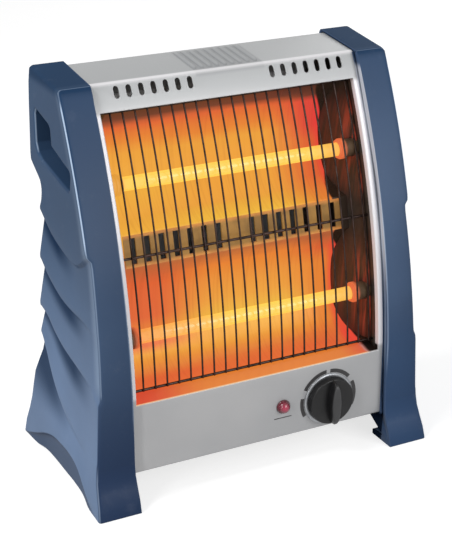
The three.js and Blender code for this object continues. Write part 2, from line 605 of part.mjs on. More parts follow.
function rearCover() {
  const path = [[COVER_TOP.y, COVER_TOP.z], [COVER_TOP.y, COVER_LEAN_TOP_Z], [COVER_Y, COVER_KINK_Z],
    [COVER_Y, BEZEL_BOTTOM], [COVER_Y - BEZEL_HEM, BEZEL_BOTTOM]];
  const sheet = alongX(bentSheet(path, COVER_SHEET), -BEZEL_REACH, BEZEL_REACH);
  const { width, height, pitch, count } = COVER_SLOT;
  const slots = COVER_SLOT_ROWS.flatMap((z) => span(0, count - 1, count - 1).map((i) => {
    const x = (i - (count - 1) / 2) * pitch;
    return box(x - width / 2, x + width / 2, COVER_Y - 5, COVER_Y + 5, z, z + height);
  }));
  const screws = screwSpots().map(([x, z]) => rod('y', SCREW_R + CLEAR, COVER_Y - 5, COVER_Y + 5, x, z, 10));
  const gland = rod('y', GLAND_NECK_R + CLEAR, COVER_Y - 5, COVER_Y + 5, GLAND.x, GLAND.z, 20);
  return geometryOf(cutBy(sheet, [...slots, ...screws, gland]));
}

const screwSpots = () => [-1, 1].flatMap((side) =>
  [COVER_SCREWS.low, COVER_SCREWS.high].map((z) => [side * COVER_SCREWS.x, z]));

const BASE_Z = BEZEL_BOTTOM + SHEET + CLEAR;

function basePlate() {
  const plate = box(-END_PLATE_X + CLEAR, END_PLATE_X - CLEAR, bezelLine(BEZEL_BOTTOM) + SHEET + CLEAR,
    COVER_Y - COVER_SHEET - CLEAR, BASE_Z, BASE_Z + SHEET);
  const hole = rod('z', PLUNGER_R + 0.5, 0, 60, TIP.x, TIP.y, 16);
  return geometryOf(plate.subtract(hole));
}

function endPlate() {
  const front = (z) => bezelLine(z) + SHEET + CLEAR;
  const [low, high] = [BEZEL_BOTTOM + SHEET + CLEAR, BEZEL_CREASE_Z - SHEET - CLEAR];
  const heights = span(low, high - 1.5, 11);
  const rear = COVER_Y - COVER_SHEET - CLEAR;
  const rearTop = COVER_TOP.y - COVER_SHEET - CLEAR;
  const underPlate = (y) => plateZ(y) - SHEET - 1.2 * CLEAR;
  const outline = [...heights.map((z) => [front(z), z]), [front(high) + 2, underPlate(front(high) + 2)],
    [rearTop, underPlate(rearTop)], [rearTop, COVER_LEAN_TOP_Z + 0.5],
    [rear, COVER_KINK_Z], [rear, low]];
  const [x0, x1] = [END_PLATE_X, END_PLATE_X + END_PLATE];
  const web = alongX(outline, x0, x1);
  const strip = span(low, high - 14, 9);
  const flangeLine = [...strip.map((z) => [front(z), z]),
    ...strip.slice().reverse().map((z) => [front(z) + END_PLATE, z])].reverse();
  const frontFlange = alongX(flangeLine, x1 - END_PLATE / 2, BEZEL_REACH);
  const rearFlange = box(COVER_SCREWS.x - 5, x0 + END_PLATE / 2, rear - END_PLATE, rear, low + 6,
    COVER_KINK_Z - 3);
  const holes = [UPPER_TUBE, LOWER_TUBE].map(({ y, z }) => rod('x', CAP_R + CLEAR, x0 - 1, x1 + 1, y, z, 16));
  const rails = grilleRails().map(({ y, z }) => rod('x', RAIL_R + CLEAR, x0 - 1, x1 + 1, y, z, 8));
  const bolts = PANEL_BOSSES.map(({ y, z }) => rod('x', SCREW_R + CLEAR, x0 - 1, x1 + 1, y, z, 8));
  const leadHoles = [FEED_HOLES.near, FEED_HOLES.far].map(({ y, z }) =>
    rod('x', LEAD_R + CLEAR, x0 - 1, x1 + 1, y, z, 8));
  const coverHoles = [COVER_SCREWS.low, COVER_SCREWS.high].map((z) =>
    rod('y', SCREW_R + CLEAR, rear - 3, rear + 1, COVER_SCREWS.x, z, 10));
  const cuts = [...holes, ...rails, ...bolts, ...leadHoles, ...coverHoles];
  return geometryOf(cutBy(joined(web, frontFlange, rearFlange), cuts));
}

// -------------------------------------------------- reflector and slotted strip
const SILL_REAR = bezelLine(WINDOW_LOW) + SILL_DEPTH;
const stripPoint = (z) => ({ y: frontY(z) + STRIP_SETBACK, z });
const STRIP_LOW = stripPoint(STRIP_MID_Z - STRIP_HEIGHT / 2);
const STRIP_HIGH = stripPoint(STRIP_MID_Z + STRIP_HEIGHT / 2);

// half width of the hot chamber at a setback behind the panels' front edges
function chamberX(setback) {
  const share = (setback - CHEEK_FRONT_SETBACK) / (CHEEK_REAR_SETBACK - CHEEK_FRONT_SETBACK);
  return lerp(CHEEK_FRONT_X, CHEEK_REAR_X, THREE.MathUtils.clamp(share, 0, 1));
}

// everything on the left beyond the flared wall moved outwards by a distance
function beyondChamber(setbacks, low, high, outwards, limit) {
  const grid = span(low, high, 9).map((z) =>
    setbacks.map((setback) => [-chamberX(setback) - outwards, frontY(z) + setback, z]));
  return closedPatch(grid, limit);
}

const OVERCUT = 9;               // how far a cutter runs past what it cuts

function cheek() {
  const [low, high] = [WINDOW_LOW + CLEAR, WINDOW_HIGH - 2];
  const rear = CHEEK_REAR_SETBACK + 3;
  const wall = beyondChamber([CHEEK_FRONT_SETBACK, CHEEK_REAR_SETBACK, rear], low, high, 0, -DEPTH);
  const room = beyondChamber([-OVERCUT, CHEEK_FRONT_SETBACK, CHEEK_REAR_SETBACK, rear + OVERCUT],
    low - OVERCUT, high + OVERCUT, CHEEK_SHEET, -DEPTH - 1);
  const holes = [UPPER_TUBE, LOWER_TUBE].map(({ y, z }) =>
    rod('x', CAP_R + CLEAR, -END_PLATE_X - 1, -CAP_FACE_X, y, z, 20));
  return mirrored(geometryOf(cutBy(wall, [room, ...holes])));
}

// the troughs' curves: how far their control points lie below, above and behind
const TROUGH = { lowDrop: 44, lowFront: 33, lowBack: 23, lowRise: 22, highDrop: 26, highRise: 32, lip: 18 };

function reflector() {
  const line = new THREE.Path();
  line.moveTo(SILL_REAR + CLEAR, WINDOW_LOW - 0.2);
  const gap = STRIP_SHEET + CLEAR;
  line.bezierCurveTo(COVER_Y - TROUGH.lowFront, LOWER_TUBE.z - TROUGH.lowDrop,
    COVER_Y - TROUGH.lowBack, LOWER_TUBE.z + TROUGH.lowRise, STRIP_LOW.y + gap, STRIP_LOW.z - 1);
  line.lineTo(STRIP_HIGH.y + gap, STRIP_HIGH.z + 1);
  line.bezierCurveTo(COVER_Y, UPPER_TUBE.z - TROUGH.highDrop, COVER_Y, UPPER_TUBE.z + TROUGH.highRise,
    UPPER_TUBE.y + TROUGH.lip, WINDOW_HIGH - 3);
  const points = line.getPoints(12).map(({ x, y }) => [x, y]);
  const sheet = alongX(bentSheet(points, COVER_SHEET), -CHEEK_FRONT_X, CHEEK_FRONT_X);
  const end = beyondChamber([-OVERCUT, CHEEK_FRONT_SETBACK, CHEEK_REAR_SETBACK, COVER_Y],
    WINDOW_LOW - OVERCUT, CREASE_Z, -CLEAR, -DEPTH);
  const otherEnd = solidOf(mirrored(geometryOf(end)));
  return geometryOf(cutBy(sheet, [...stripSlots(6), end, otherEnd]));
}

function stripSlots(reach) {
  const [low, high] = [STRIP_LOW, STRIP_HIGH];
  return [-1, 1].flatMap((side) => span(0, STRIP_SLOT_COUNT - 1, STRIP_SLOT_COUNT - 1).map((i) => {
    const x = side * (STRIP_SLOT_FIRST + i * STRIP_SLOT_PITCH);
    return box(x - STRIP_SLOT / 2, x + STRIP_SLOT / 2, low.y - reach, high.y + reach,
      low.z + STRIP_SLOT_MARGIN, high.z - STRIP_SLOT_MARGIN);
  }));
}

function slottedStrip() {
  const outline = bentSheet([[STRIP_LOW.y, STRIP_LOW.z], [STRIP_HIGH.y, STRIP_HIGH.z]], STRIP_SHEET);
  return geometryOf(cutBy(alongX(outline, -STRIP_HALF, STRIP_HALF), stripSlots(4)));
}

// -------------------------------------------------------------- guard and tubes
const wireY = (z) => frontY(z) + GRILLE_SETBACK;

function grilleRails() {
  const seat = WIRE_R + RAIL_R - 0.25;
  const low = WINDOW_LOW + RAIL_R + CLEAR;
  return [low, (low + GRILLE_TOP) / 2, GRILLE_TOP].map((z) => ({ y: wireY(z) + seat, z }));
}

function grille() {
  const foot = WINDOW_LOW + CLEAR;
  const curve = new THREE.CatmullRomCurve3(span(foot, GRILLE_TOP + RAIL_R, 6)
    .map((z) => new THREE.Vector3(0, wireY(z), z)));
  const section = new THREE.Shape(span(0, 5, 5).map((i) => {
    const turn = (i / 6) * Math.PI * 2;
    return new THREE.Vector2(WIRE_R * Math.cos(turn), WIRE_R * Math.sin(turn));
  }));
  const along = { steps: 6, bevelEnabled: false, extrudePath: curve };
  const wire = solidOf(new THREE.ExtrudeGeometry(section, along));
  const wires = span(0, WIRE_COUNT - 1, WIRE_COUNT - 1).map((i) =>
    wire.translate([(i - (WIRE_COUNT - 1) / 2) * WIRE_PITCH, 0, 0]));
  const end = END_PLATE_X + END_PLATE + CLEAR;
  const rails = grilleRails().map(({ y, z }) => rod('x', RAIL_R, -end, end, y, z, 6));
  return geometryOf(joined(...rails, ...wires));
}

const quartzTube = ({ y, z }) => geometryOf(rod('x', TUBE_R, -TUBE_HALF, TUBE_HALF, y, z, 16)
  .subtract(rod('x', TUBE_R - TUBE_WALL, -TUBE_HALF - 1, TUBE_HALF + 1, y, z, 16)));

const element = ({ y, z }) => geometryOf(rod('x', COIL_R, -TUBE_HALF, TUBE_HALF, y, z, 12));

// right-hand cap; the left one is its mirror image
function ceramicCap({ y, z }) {
  const collarX = CAP_FACE_X + COLLAR_INSET;
  const body = rod('x', CAP_R, CAP_FACE_X, CAP_OUTER_X, y, z, 16);
  const collar = rod('x', COLLAR_R, collarX, collarX + COLLAR, y, z, 16);
  const socket = rod('x', TUBE_R + CLEAR, CAP_FACE_X - 1, TUBE_HALF + CLEAR, y, z, 16);
  const bore = rod('x', PIN_R + CLEAR, CAP_FACE_X, CAP_OUTER_X + 1, y, z, 8);
  return geometryOf(cutBy(joined(body, collar), [socket, bore]));
}

function terminalPin({ y, z }) {
  const pin = rod('x', PIN_R, TUBE_HALF + CLEAR, PIN_END_X, y, z, 10);
  const nut = rod('x', PIN_NUT_R, CAP_OUTER_X + CLEAR, CAP_OUTER_X + CLEAR + PIN_NUT, y, z, 6);
  return geometryOf(joined(pin, nut));
}

// --------------------------------------------------------------------- controls
const FACE_Y = bezelLine(BEZEL_BOTTOM);
const NUT_FRONT = FACE_Y - CLEAR - NUT_THICK;
const KNOB_BACK = FACE_Y - CLEAR - RING_THICK - CLEAR;

function knob() {
  const discFront = KNOB_BACK - KNOB_DISC;
  const disc = solidOf(turned([[0, KNOB_BACK], [KNOB_R, KNOB_BACK], [KNOB_R, discFront + 1.5],
    [KNOB_R - 1.5, discFront], [0, discFront]], 0, 0, 36));
  const gripDepth = new THREE.Shape();
  gripDepth.moveTo(-KNOB_R + 0.6, discFront + 1).lineTo(-KNOB_R + 2.4, KNOB_FRONT_Y + 2.4);
  gripDepth.quadraticCurveTo(0, KNOB_FRONT_Y - 2.4, KNOB_R - 2.4, KNOB_FRONT_Y + 2.4);
  gripDepth.lineTo(KNOB_R - 0.6, discFront + 1).closePath();
  const ridge = solidOf(extruded(gripDepth, KNOB_GRIP, Z, Y, X.clone().negate(),
    new THREE.Vector3(KNOB_GRIP / 2, 0, 0), 8));
  const nutRoom = rod('y', NUT_R + 1.4, NUT_FRONT - 1.2, KNOB_BACK + 1, 0, 0, 20);
  const socket = rod('y', SHAFT_R + CLEAR, KNOB_FRONT_Y + KNOB_CAP, KNOB_BACK + 1, 0, 0, 16);
  return geometryOf(cutBy(joined(disc, ridge), [nutRoom, socket]).translate([KNOB.x, 0, KNOB.z]));
}

function switchShaft() {
  const front = KNOB_FRONT_Y + KNOB_CAP + CLEAR;
  return geometryOf(rod('y', SHAFT_R, front, FACE_Y + SHAFT_IN_SWITCH, KNOB.x, KNOB.z, 16));
}

function rotarySwitch() {
  const back = FACE_Y + SHEET + CLEAR;
  const half = SWITCH_BODY / 2;
  const body = box(KNOB.x - half, KNOB.x + half, back, back + SWITCH_DEPTH, KNOB.z - half, KNOB.z + half);
  const bush = rod('y', BUSH_R, NUT_FRONT - 0.4, back + 1, KNOB.x, KNOB.z, 20);
  const bore = rod('y', SHAFT_R + CLEAR, 0, FACE_Y + SHAFT_IN_SWITCH + CLEAR, KNOB.x, KNOB.z, 16);
  return geometryOf(joined(body, bush).subtract(bore));
}

const switchNut = () => geometryOf(rod('y', NUT_R, NUT_FRONT, FACE_Y - CLEAR, KNOB.x, KNOB.z, 6)
  .subtract(rod('y', BUSH_R + CLEAR, 0, FACE_Y, KNOB.x, KNOB.z, 20)));

function dialRing() {
  const disc = rod('y', RING_R, FACE_Y - CLEAR - RING_THICK, FACE_Y - CLEAR, KNOB.x, KNOB.z, 40);
  return geometryOf(disc.subtract(rod('y', NUT_R + 1.2, 0, FACE_Y, KNOB.x, KNOB.z, 24)));
}

function lampLens() {
  const rim = FACE_Y - CLEAR;
  const dome = span(0, 4, 4).map((i) => {
    const turn = (i / 4) * Math.PI / 2;
    return [LAMP_R * Math.cos(turn), rim - 1 - (LAMP_R - 1) * Math.sin(turn)];
  });
  const back = rim + SHEET + LAMP_STEM;
  return turned([[0, back], [LAMP_STEM_R, back], [LAMP_STEM_R, rim], [LAMP_R, rim],
    ...dome.slice(0, -1), [0, rim - LAMP_R]], LAMP.x, LAMP.z, 16);
}

function lampBody() {
  const start = FACE_Y + SHEET + LAMP_STEM;
  return geometryOf(rod('y', LAMP_STEM_R, start, start + LAMP_BODY_LENGTH, LAMP.x, LAMP.z, 16));
}

// -------------------------------------------------------------- tip-over switch
const DECK_Z = BASE_Z + SHEET + CLEAR;
const PLUNGER_TOP = DECK_Z + PLUNGER_RISE;
const CHAMBER_TOP = DECK_Z + TIP_SIZE.z - TIP_WALL;

function tipHousing() {
  const { x, y } = TIP_SIZE;
  const outer = box(TIP.x - x / 2, TIP.x + x / 2, TIP.y - y / 2, TIP.y + y / 2, DECK_Z, DECK_Z + TIP_SIZE.z);
  const chamber = rod('z', SPRING_R + 2 * CLEAR, DECK_Z + TIP_WALL, CHAMBER_TOP, TIP.x, TIP.y, 16);
  const guide = rod('z', PLUNGER_R + CLEAR, DECK_Z - 1, DECK_Z + TIP_WALL + 1, TIP.x, TIP.y, 16);
  return geometryOf(cutBy(outer, [chamber, guide]));
}

function plunger() {
  const headLow = DECK_Z + TIP_WALL + PLUNGER_TRAVEL + CLEAR;
  const stem = rod('z', PLUNGER_R, PLUNGER_FOOT / 2, PLUNGER_TOP, TIP.x, TIP.y, 16);
  const foot = rod('z', PLUNGER_FOOT_R, 0, PLUNGER_FOOT, TIP.x, TIP.y, 20);
  const head = rod('z', SPRING_R, headLow, PLUNGER_TOP, TIP.x, TIP.y, 16);
  return geometryOf(joined(stem, foot, head));
}

function plungerSpring() {
  const [low, high] = [PLUNGER_TOP + CLEAR, CHAMBER_TOP - CLEAR];
  return geometryOf(rod('z', SPRING_R, low, high, TIP.x, TIP.y, 16)
    .subtract(rod('z', SPRING_R - 1, low - 1, high + 1, TIP.x, TIP.y, 16)));
}

// ------------------------------------------------------------ inlet and wiring
function cordGland() {
  const outside = COVER_Y + CLEAR;
  const flange = rod('y', GLAND_FLANGE_R, outside, outside + GLAND_FLANGE, GLAND.x, GLAND.z, 24);
  const neck = rod('y', GLAND_NECK_R, COVER_Y - COVER_SHEET - 6, outside + 1, GLAND.x, GLAND.z, 20);
  const bore = rod('y', GLAND_BORE_R, COVER_Y - 20, outside + GLAND_FLANGE + 1, GLAND.x, GLAND.z, 16);
  return geometryOf(joined(flange, neck).subtract(bore));
}

const BLOCK_FRONT = BLOCK.y - BLOCK.d / 2;
const portAt = (pole) => ({ x: BLOCK.x + pole * BLOCK_POLE, z: DECK_Z + 5 });
const PORT_DEPTH = 6;

function terminalBlock() {
  const { x, y, w, d, h } = BLOCK;
  const body = box(x - w / 2, x + w / 2, y - d / 2, y + d / 2, DECK_Z, DECK_Z + h);
  const wells = [-1, 0, 1].map((i) => rod('z', 3, DECK_Z + h - 4, DECK_Z + h + 1, x + i * BLOCK_POLE, y, 10));
  const ports = [-1, 1].map((i) =>
    rod('y', LEAD_R + CLEAR, BLOCK_FRONT - 1, BLOCK_FRONT + PORT_DEPTH, portAt(i).x, portAt(i).z, 8));
  return geometryOf(cutBy(body, [...wells, ...ports]));
}

// a round lead through a list of points
function lead(points, steps) {
  const curve = new THREE.CatmullRomCurve3(points.map((p) => new THREE.Vector3(...p)));
  const section = new THREE.Shape(span(0, 5, 5).map((i) => {
    const turn = (i / 6) * Math.PI * 2;
    return new THREE.Vector2(LEAD_R * Math.cos(turn), LEAD_R * Math.sin(turn));
  }));
  return new THREE.ExtrudeGeometry(section, { steps, bevelEnabled: false, extrudePath: curve });
}

// where the leads end: on the block, the two switches and the nuts of the terminal pins
const LEAD_RISE_X = CAP_OUTER_X + CLEAR + PIN_NUT / 2;
const pinEnd = ({ y, z }, side, below) =>
  [side * LEAD_RISE_X, y, z + below * (PIN_NUT_R + CLEAR)];
const SWITCH_BACK = FACE_Y + SHEET + CLEAR + SWITCH_DEPTH;

function supplyLead() {
  const { x, z } = portAt(1);
  const end = TIP.x - TIP_SIZE.x / 2 - CLEAR;
  return lead([[x, BLOCK_FRONT + PORT_DEPTH - CLEAR, z], [x, BLOCK_FRONT, z], [x + 6, BLOCK_FRONT - 9, z + 3],
    [(x + end) / 2, BLOCK_FRONT, z + 9], [end - 9, TIP.y, DECK_Z + 14], [end, TIP.y, DECK_Z + 14]], 16);
}

function switchedLead() {
  const top = DECK_Z + TIP_SIZE.z + CLEAR;
  return lead([[TIP.x, TIP.y, top], [TIP.x, TIP.y - 1, top + 7], [TIP.x + 12, TIP.y - 16, top + 9],
    [KNOB.x - 4, SWITCH_BACK + 12, KNOB.z + 5],
    [KNOB.x, SWITCH_BACK + 5, KNOB.z + 4], [KNOB.x, SWITCH_BACK + CLEAR, KNOB.z + 4]], 16);
}

function barLead(offset, hole, tube, steps) {
  const end = pinEnd(tube, 1, -1);
  const back = SWITCH_BACK + CLEAR;
  return lead([[KNOB.x + offset, back, KNOB.z - 7], [KNOB.x + offset, back + 6, KNOB.z - 6],
    [END_PLATE_X - 12, hole.y, hole.z], [END_PLATE_X - 4, hole.y, hole.z], [END_PLATE_X + 4, hole.y, hole.z],
    [LEAD_RISE_X, hole.y - 1, hole.z + 8], [LEAD_RISE_X, (hole.y + end[1]) / 2, (hole.z + end[2]) / 2],
    [LEAD_RISE_X, end[1], end[2] - 8], end], steps);
}

function returnLead() {
  const { x, z } = portAt(-1);
  const hole = FEED_HOLES.near;
  const end = pinEnd(LOWER_TUBE, -1, -1);
  return lead([[x, BLOCK_FRONT + PORT_DEPTH - CLEAR, z], [x, BLOCK_FRONT, z], [x - 5, BLOCK_FRONT - 8, z + 6],
    [-END_PLATE_X + 12, hole.y, hole.z], [-END_PLATE_X + 4, hole.y, hole.z],
    [-END_PLATE_X - 4, hole.y, hole.z],
    [-LEAD_RISE_X, hole.y - 1, hole.z + 8], [-LEAD_RISE_X, end[1], end[2] - 8], end], 22);
}

function linkLead() {
  const [start, end] = [pinEnd(LOWER_TUBE, -1, 1), pinEnd(UPPER_TUBE, -1, -1)];
  return lead([start, [start[0], start[1], start[2] + 8], [end[0], end[1], end[2] - 8], end], 14);
}

// -------------------------------------------------------------------- fasteners
// head towards the inside of the casing, thread into the panel's boss
function panelScrew({ y, z }) {
  const head = rod('x', SCREW_HEAD_R, END_PLATE_X - CLEAR - SCREW_HEAD, END_PLATE_X - CLEAR, y, z, 12);
  const thread = rod('x', SCREW_R, END_PLATE_X - CLEAR - 1, END_PLATE_X + BOSS_DEPTH - 1, y, z, 10);
  return geometryOf(joined(head, thread));
}

function coverScrew(x, z) {
  const head = rod('y', SCREW_HEAD_R, COVER_Y + CLEAR, COVER_Y + CLEAR + SCREW_HEAD, x, z, 12);
  const thread = rod('y', SCREW_R, COVER_Y - 7, COVER_Y + CLEAR + 1, x, z, 10);
  return geometryOf(joined(head, thread));
}

// the pads' places under the two soles of a panel
const padWidth = () => {
  const solesReach = Math.min(...PANEL_ROWS[0].x);
  return [PANEL_INNER + PAD_MARGIN, PANEL_INNER + solesReach - PAD_MARGIN];
};
const padSpans = () => [
  [2 * PAD_MARGIN, FRONT_FOOT - PAD_MARGIN], [REAR_FOOT_Y + PAD_MARGIN, DEPTH - 2 * PAD_MARGIN],
];

const pads = () => padSpans().map(([y0, y1]) => geometryOf(box(...padWidth(), y0, y1, 0, PAD_THICK)));

// --------------------------------------------------------------------- assembly
const heater = new THREE.Group();
const frame = new THREE.Group();
frame.position.y = -DEPTH / 2;
heater.add(frame);

function place(name, geometry, material) {
  const mesh = new THREE.Mesh(geometry, material);
  mesh.name = name;
  frame.add(mesh);
}

function placePair(name, geometry, material) {
  place(`${name}_right`, geometry, material);
  place(`${name}_left`, mirrored(geometry), material);
}

placePair('side_panel', sidePanel(), FINISH.blue);
place('front_bezel', bezel(), FINISH.grey);
place('rear_cover', rearCover(), FINISH.grey);
place('base_plate', basePlate(), FINISH.inner);
placePair('end_plate', endPlate(), FINISH.inner);
placePair('reflector_cheek', cheek(), FINISH.inner);
place('reflector', reflector(), FINISH.mirror);
place('slotted_strip', slottedStrip(), FINISH.strip);
place('guard_grille', grille(), FINISH.wire);

for (const [where, tube] of [['upper', UPPER_TUBE], ['lower', LOWER_TUBE]]) {
  place(`quartz_tube_${where}`, quartzTube(tube), FINISH.glass);
  place(`heating_coil_${where}`, element(tube), FINISH.coil);
  placePair(`ceramic_cap_${where}`, ceramicCap(tube), FINISH.ceramic);
  placePair(`terminal_pin_${where}`, terminalPin(tube), FINISH.brass);
}

place('selector_knob', knob(), FINISH.black);
place('switch_shaft', switchShaft(), FINISH.zinc);
place('rotary_switch', rotarySwitch(), FINISH.black);
place('switch_nut', switchNut(), FINISH.zinc);
place('dial_ring', dialRing(), FINISH.silver);
place('pilot_lens', lampLens(), FINISH.lens);
place('pilot_lamp', lampBody(), FINISH.black);

place('tip_switch', tipHousing(), FINISH.black);
place('tip_plunger', plunger(), FINISH.zinc);
place('tip_spring', plungerSpring(), FINISH.zinc);

place('cord_gland', cordGland(), FINISH.black);
place('terminal_block', terminalBlock(), FINISH.ceramic);
place('lead_supply', supplyLead(), FINISH.lead);
place('lead_switched', switchedLead(), FINISH.lead);
place('lead_lower_bar', barLead(9, FEED_HOLES.near, LOWER_TUBE, 22), FINISH.lead);
place('lead_upper_bar', barLead(-7, FEED_HOLES.far, UPPER_TUBE, 28), FINISH.lead);
place('lead_return', returnLead(), FINISH.lead);
place('lead_link', linkLead(), FINISH.lead);

PANEL_BOSSES.forEach((spot) => placePair(`panel_screw_${spot.name}`, panelScrew(spot), FINISH.zinc));
screwSpots().forEach(([x, z]) => {
  const side = x < 0 ? 'left' : 'right';
  const level = z === COVER_SCREWS.low ? 'low' : 'high';
  place(`cover_screw_${level}_${side}`, coverScrew(x, z), FINISH.zinc);
});
const [frontPad, rearPad] = pads();
placePair('foot_pad_front', frontPad, FINISH.rubber);
placePair('foot_pad_rear', rearPad, FINISH.rubber);

export default heater;
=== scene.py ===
"""Looks of a two-bar quartz heater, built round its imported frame.

Sizes are millimetres: x is across the heater, y is the depth behind the front
feet and z the height. Each mesh is written in metres in the frame's own axes.
"""

import logging
import math
from contextlib import contextmanager
from dataclasses import dataclass
from enum import Enum
from functools import reduce
from typing import Callable, Iterator, Optional, Sequence, Union

import bmesh
import bpy
import numpy as np
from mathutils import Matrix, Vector

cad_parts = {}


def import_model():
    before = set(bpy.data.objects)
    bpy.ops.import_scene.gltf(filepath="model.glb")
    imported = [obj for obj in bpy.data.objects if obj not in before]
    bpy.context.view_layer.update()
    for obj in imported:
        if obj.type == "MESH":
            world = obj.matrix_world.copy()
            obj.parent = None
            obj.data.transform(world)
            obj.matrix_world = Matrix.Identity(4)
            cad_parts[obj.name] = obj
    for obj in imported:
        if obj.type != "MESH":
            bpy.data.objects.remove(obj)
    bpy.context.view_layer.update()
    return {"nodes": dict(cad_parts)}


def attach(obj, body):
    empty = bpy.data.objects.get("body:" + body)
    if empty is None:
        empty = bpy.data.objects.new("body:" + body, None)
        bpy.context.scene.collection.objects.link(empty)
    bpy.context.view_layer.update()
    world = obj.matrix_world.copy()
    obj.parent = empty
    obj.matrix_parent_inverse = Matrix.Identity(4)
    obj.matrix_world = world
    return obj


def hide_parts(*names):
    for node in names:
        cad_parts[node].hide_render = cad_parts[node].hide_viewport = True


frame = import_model()

LOG = logging.getLogger("heater")
MM = 0.001
HALF_DEPTH = 84.0
CLEAR = 0.3
BLACK = "000000"
Object = bpy.types.Object
Material = bpy.types.Material
Place = Sequence[float]
Profile = Sequence[tuple[float, float]]


# ------------------------------------------------------------------ node graphs
def _operation(name: str, swapped: bool = False) -> Callable[["Link", "Value"], "Link"]:
    """Makes a method that adds a Math node for two values.

    Args:
        name: operation of the node.
        swapped: True to put the other value first.

    Returns:
        The method.
    """

    def method(self: "Link", other: "Value" = 0.0) -> "Link":
        """Result of the node."""
        pair = (other, self) if swapped else (self, other)
        return self.graph.node("Math", {"operation": name}, dict(enumerate(pair)))

    return method


class Link:
    """One output of a node that takes part in sums and products."""

    __add__, __radd__ = _operation("ADD"), _operation("ADD", True)
    __sub__, __rsub__ = _operation("SUBTRACT"), _operation("SUBTRACT", True)
    __mul__, __rmul__ = _operation("MULTIPLY"), _operation("MULTIPLY", True)
    __truediv__, __pow__ = _operation("DIVIDE"), _operation("POWER")
    size, root, wave, most = (_operation(n) for n in ("ABSOLUTE", "SQRT", "SINE", "MAXIMUM"))

    def __init__(self, graph: "Graph", socket: bpy.types.NodeSocket) -> None:
        """Keeps the graph and the socket."""
        self.graph = graph
        self.socket = socket

    def rise(self, low: float, high: float, start: float = 0.0, end: float = 1.0) -> "Link":
        """Smooth step from the start value at low to the end value at high."""
        return self.graph.node("MapRange", {"interpolation_type": "SMOOTHSTEP"},
                               dict(enumerate((self, low, high, start, end))))

    def fall(self, low: float, high: float) -> "Link":
        """Smooth step from 1 at low to 0 at high."""
        return self.rise(low, high, 1.0, 0.0)

    def near(self, middle: float, inner: float, outer: float) -> "Link":
        """1 within the inner distance of a middle, and 0 beyond the outer one."""
        return (self - middle).size().fall(inner, outer)

    def sway(self, amount: float) -> "Link":
        """Noise around 0.5 turned into one around 0."""
        return (self - 0.5) * amount


Value = Union[Link, float]
Tint = Union[Link, str]


def linear(tint: str) -> tuple[float, float, float, float]:
    """Scene colour of a six-digit screen colour.

    Args:
        tint: red, green and blue as hexadecimal digits.

    Returns:
        Red, green, blue and 1.
    """
    parts = [int(tint[i:i + 2], 16) / 255 for i in (0, 2, 4)]
    red, green, blue = [p / 12.92 if p <= 0.04045 else ((p + 0.055) / 1.055) ** 2.4 for p in parts]
    return red, green, blue, 1.0


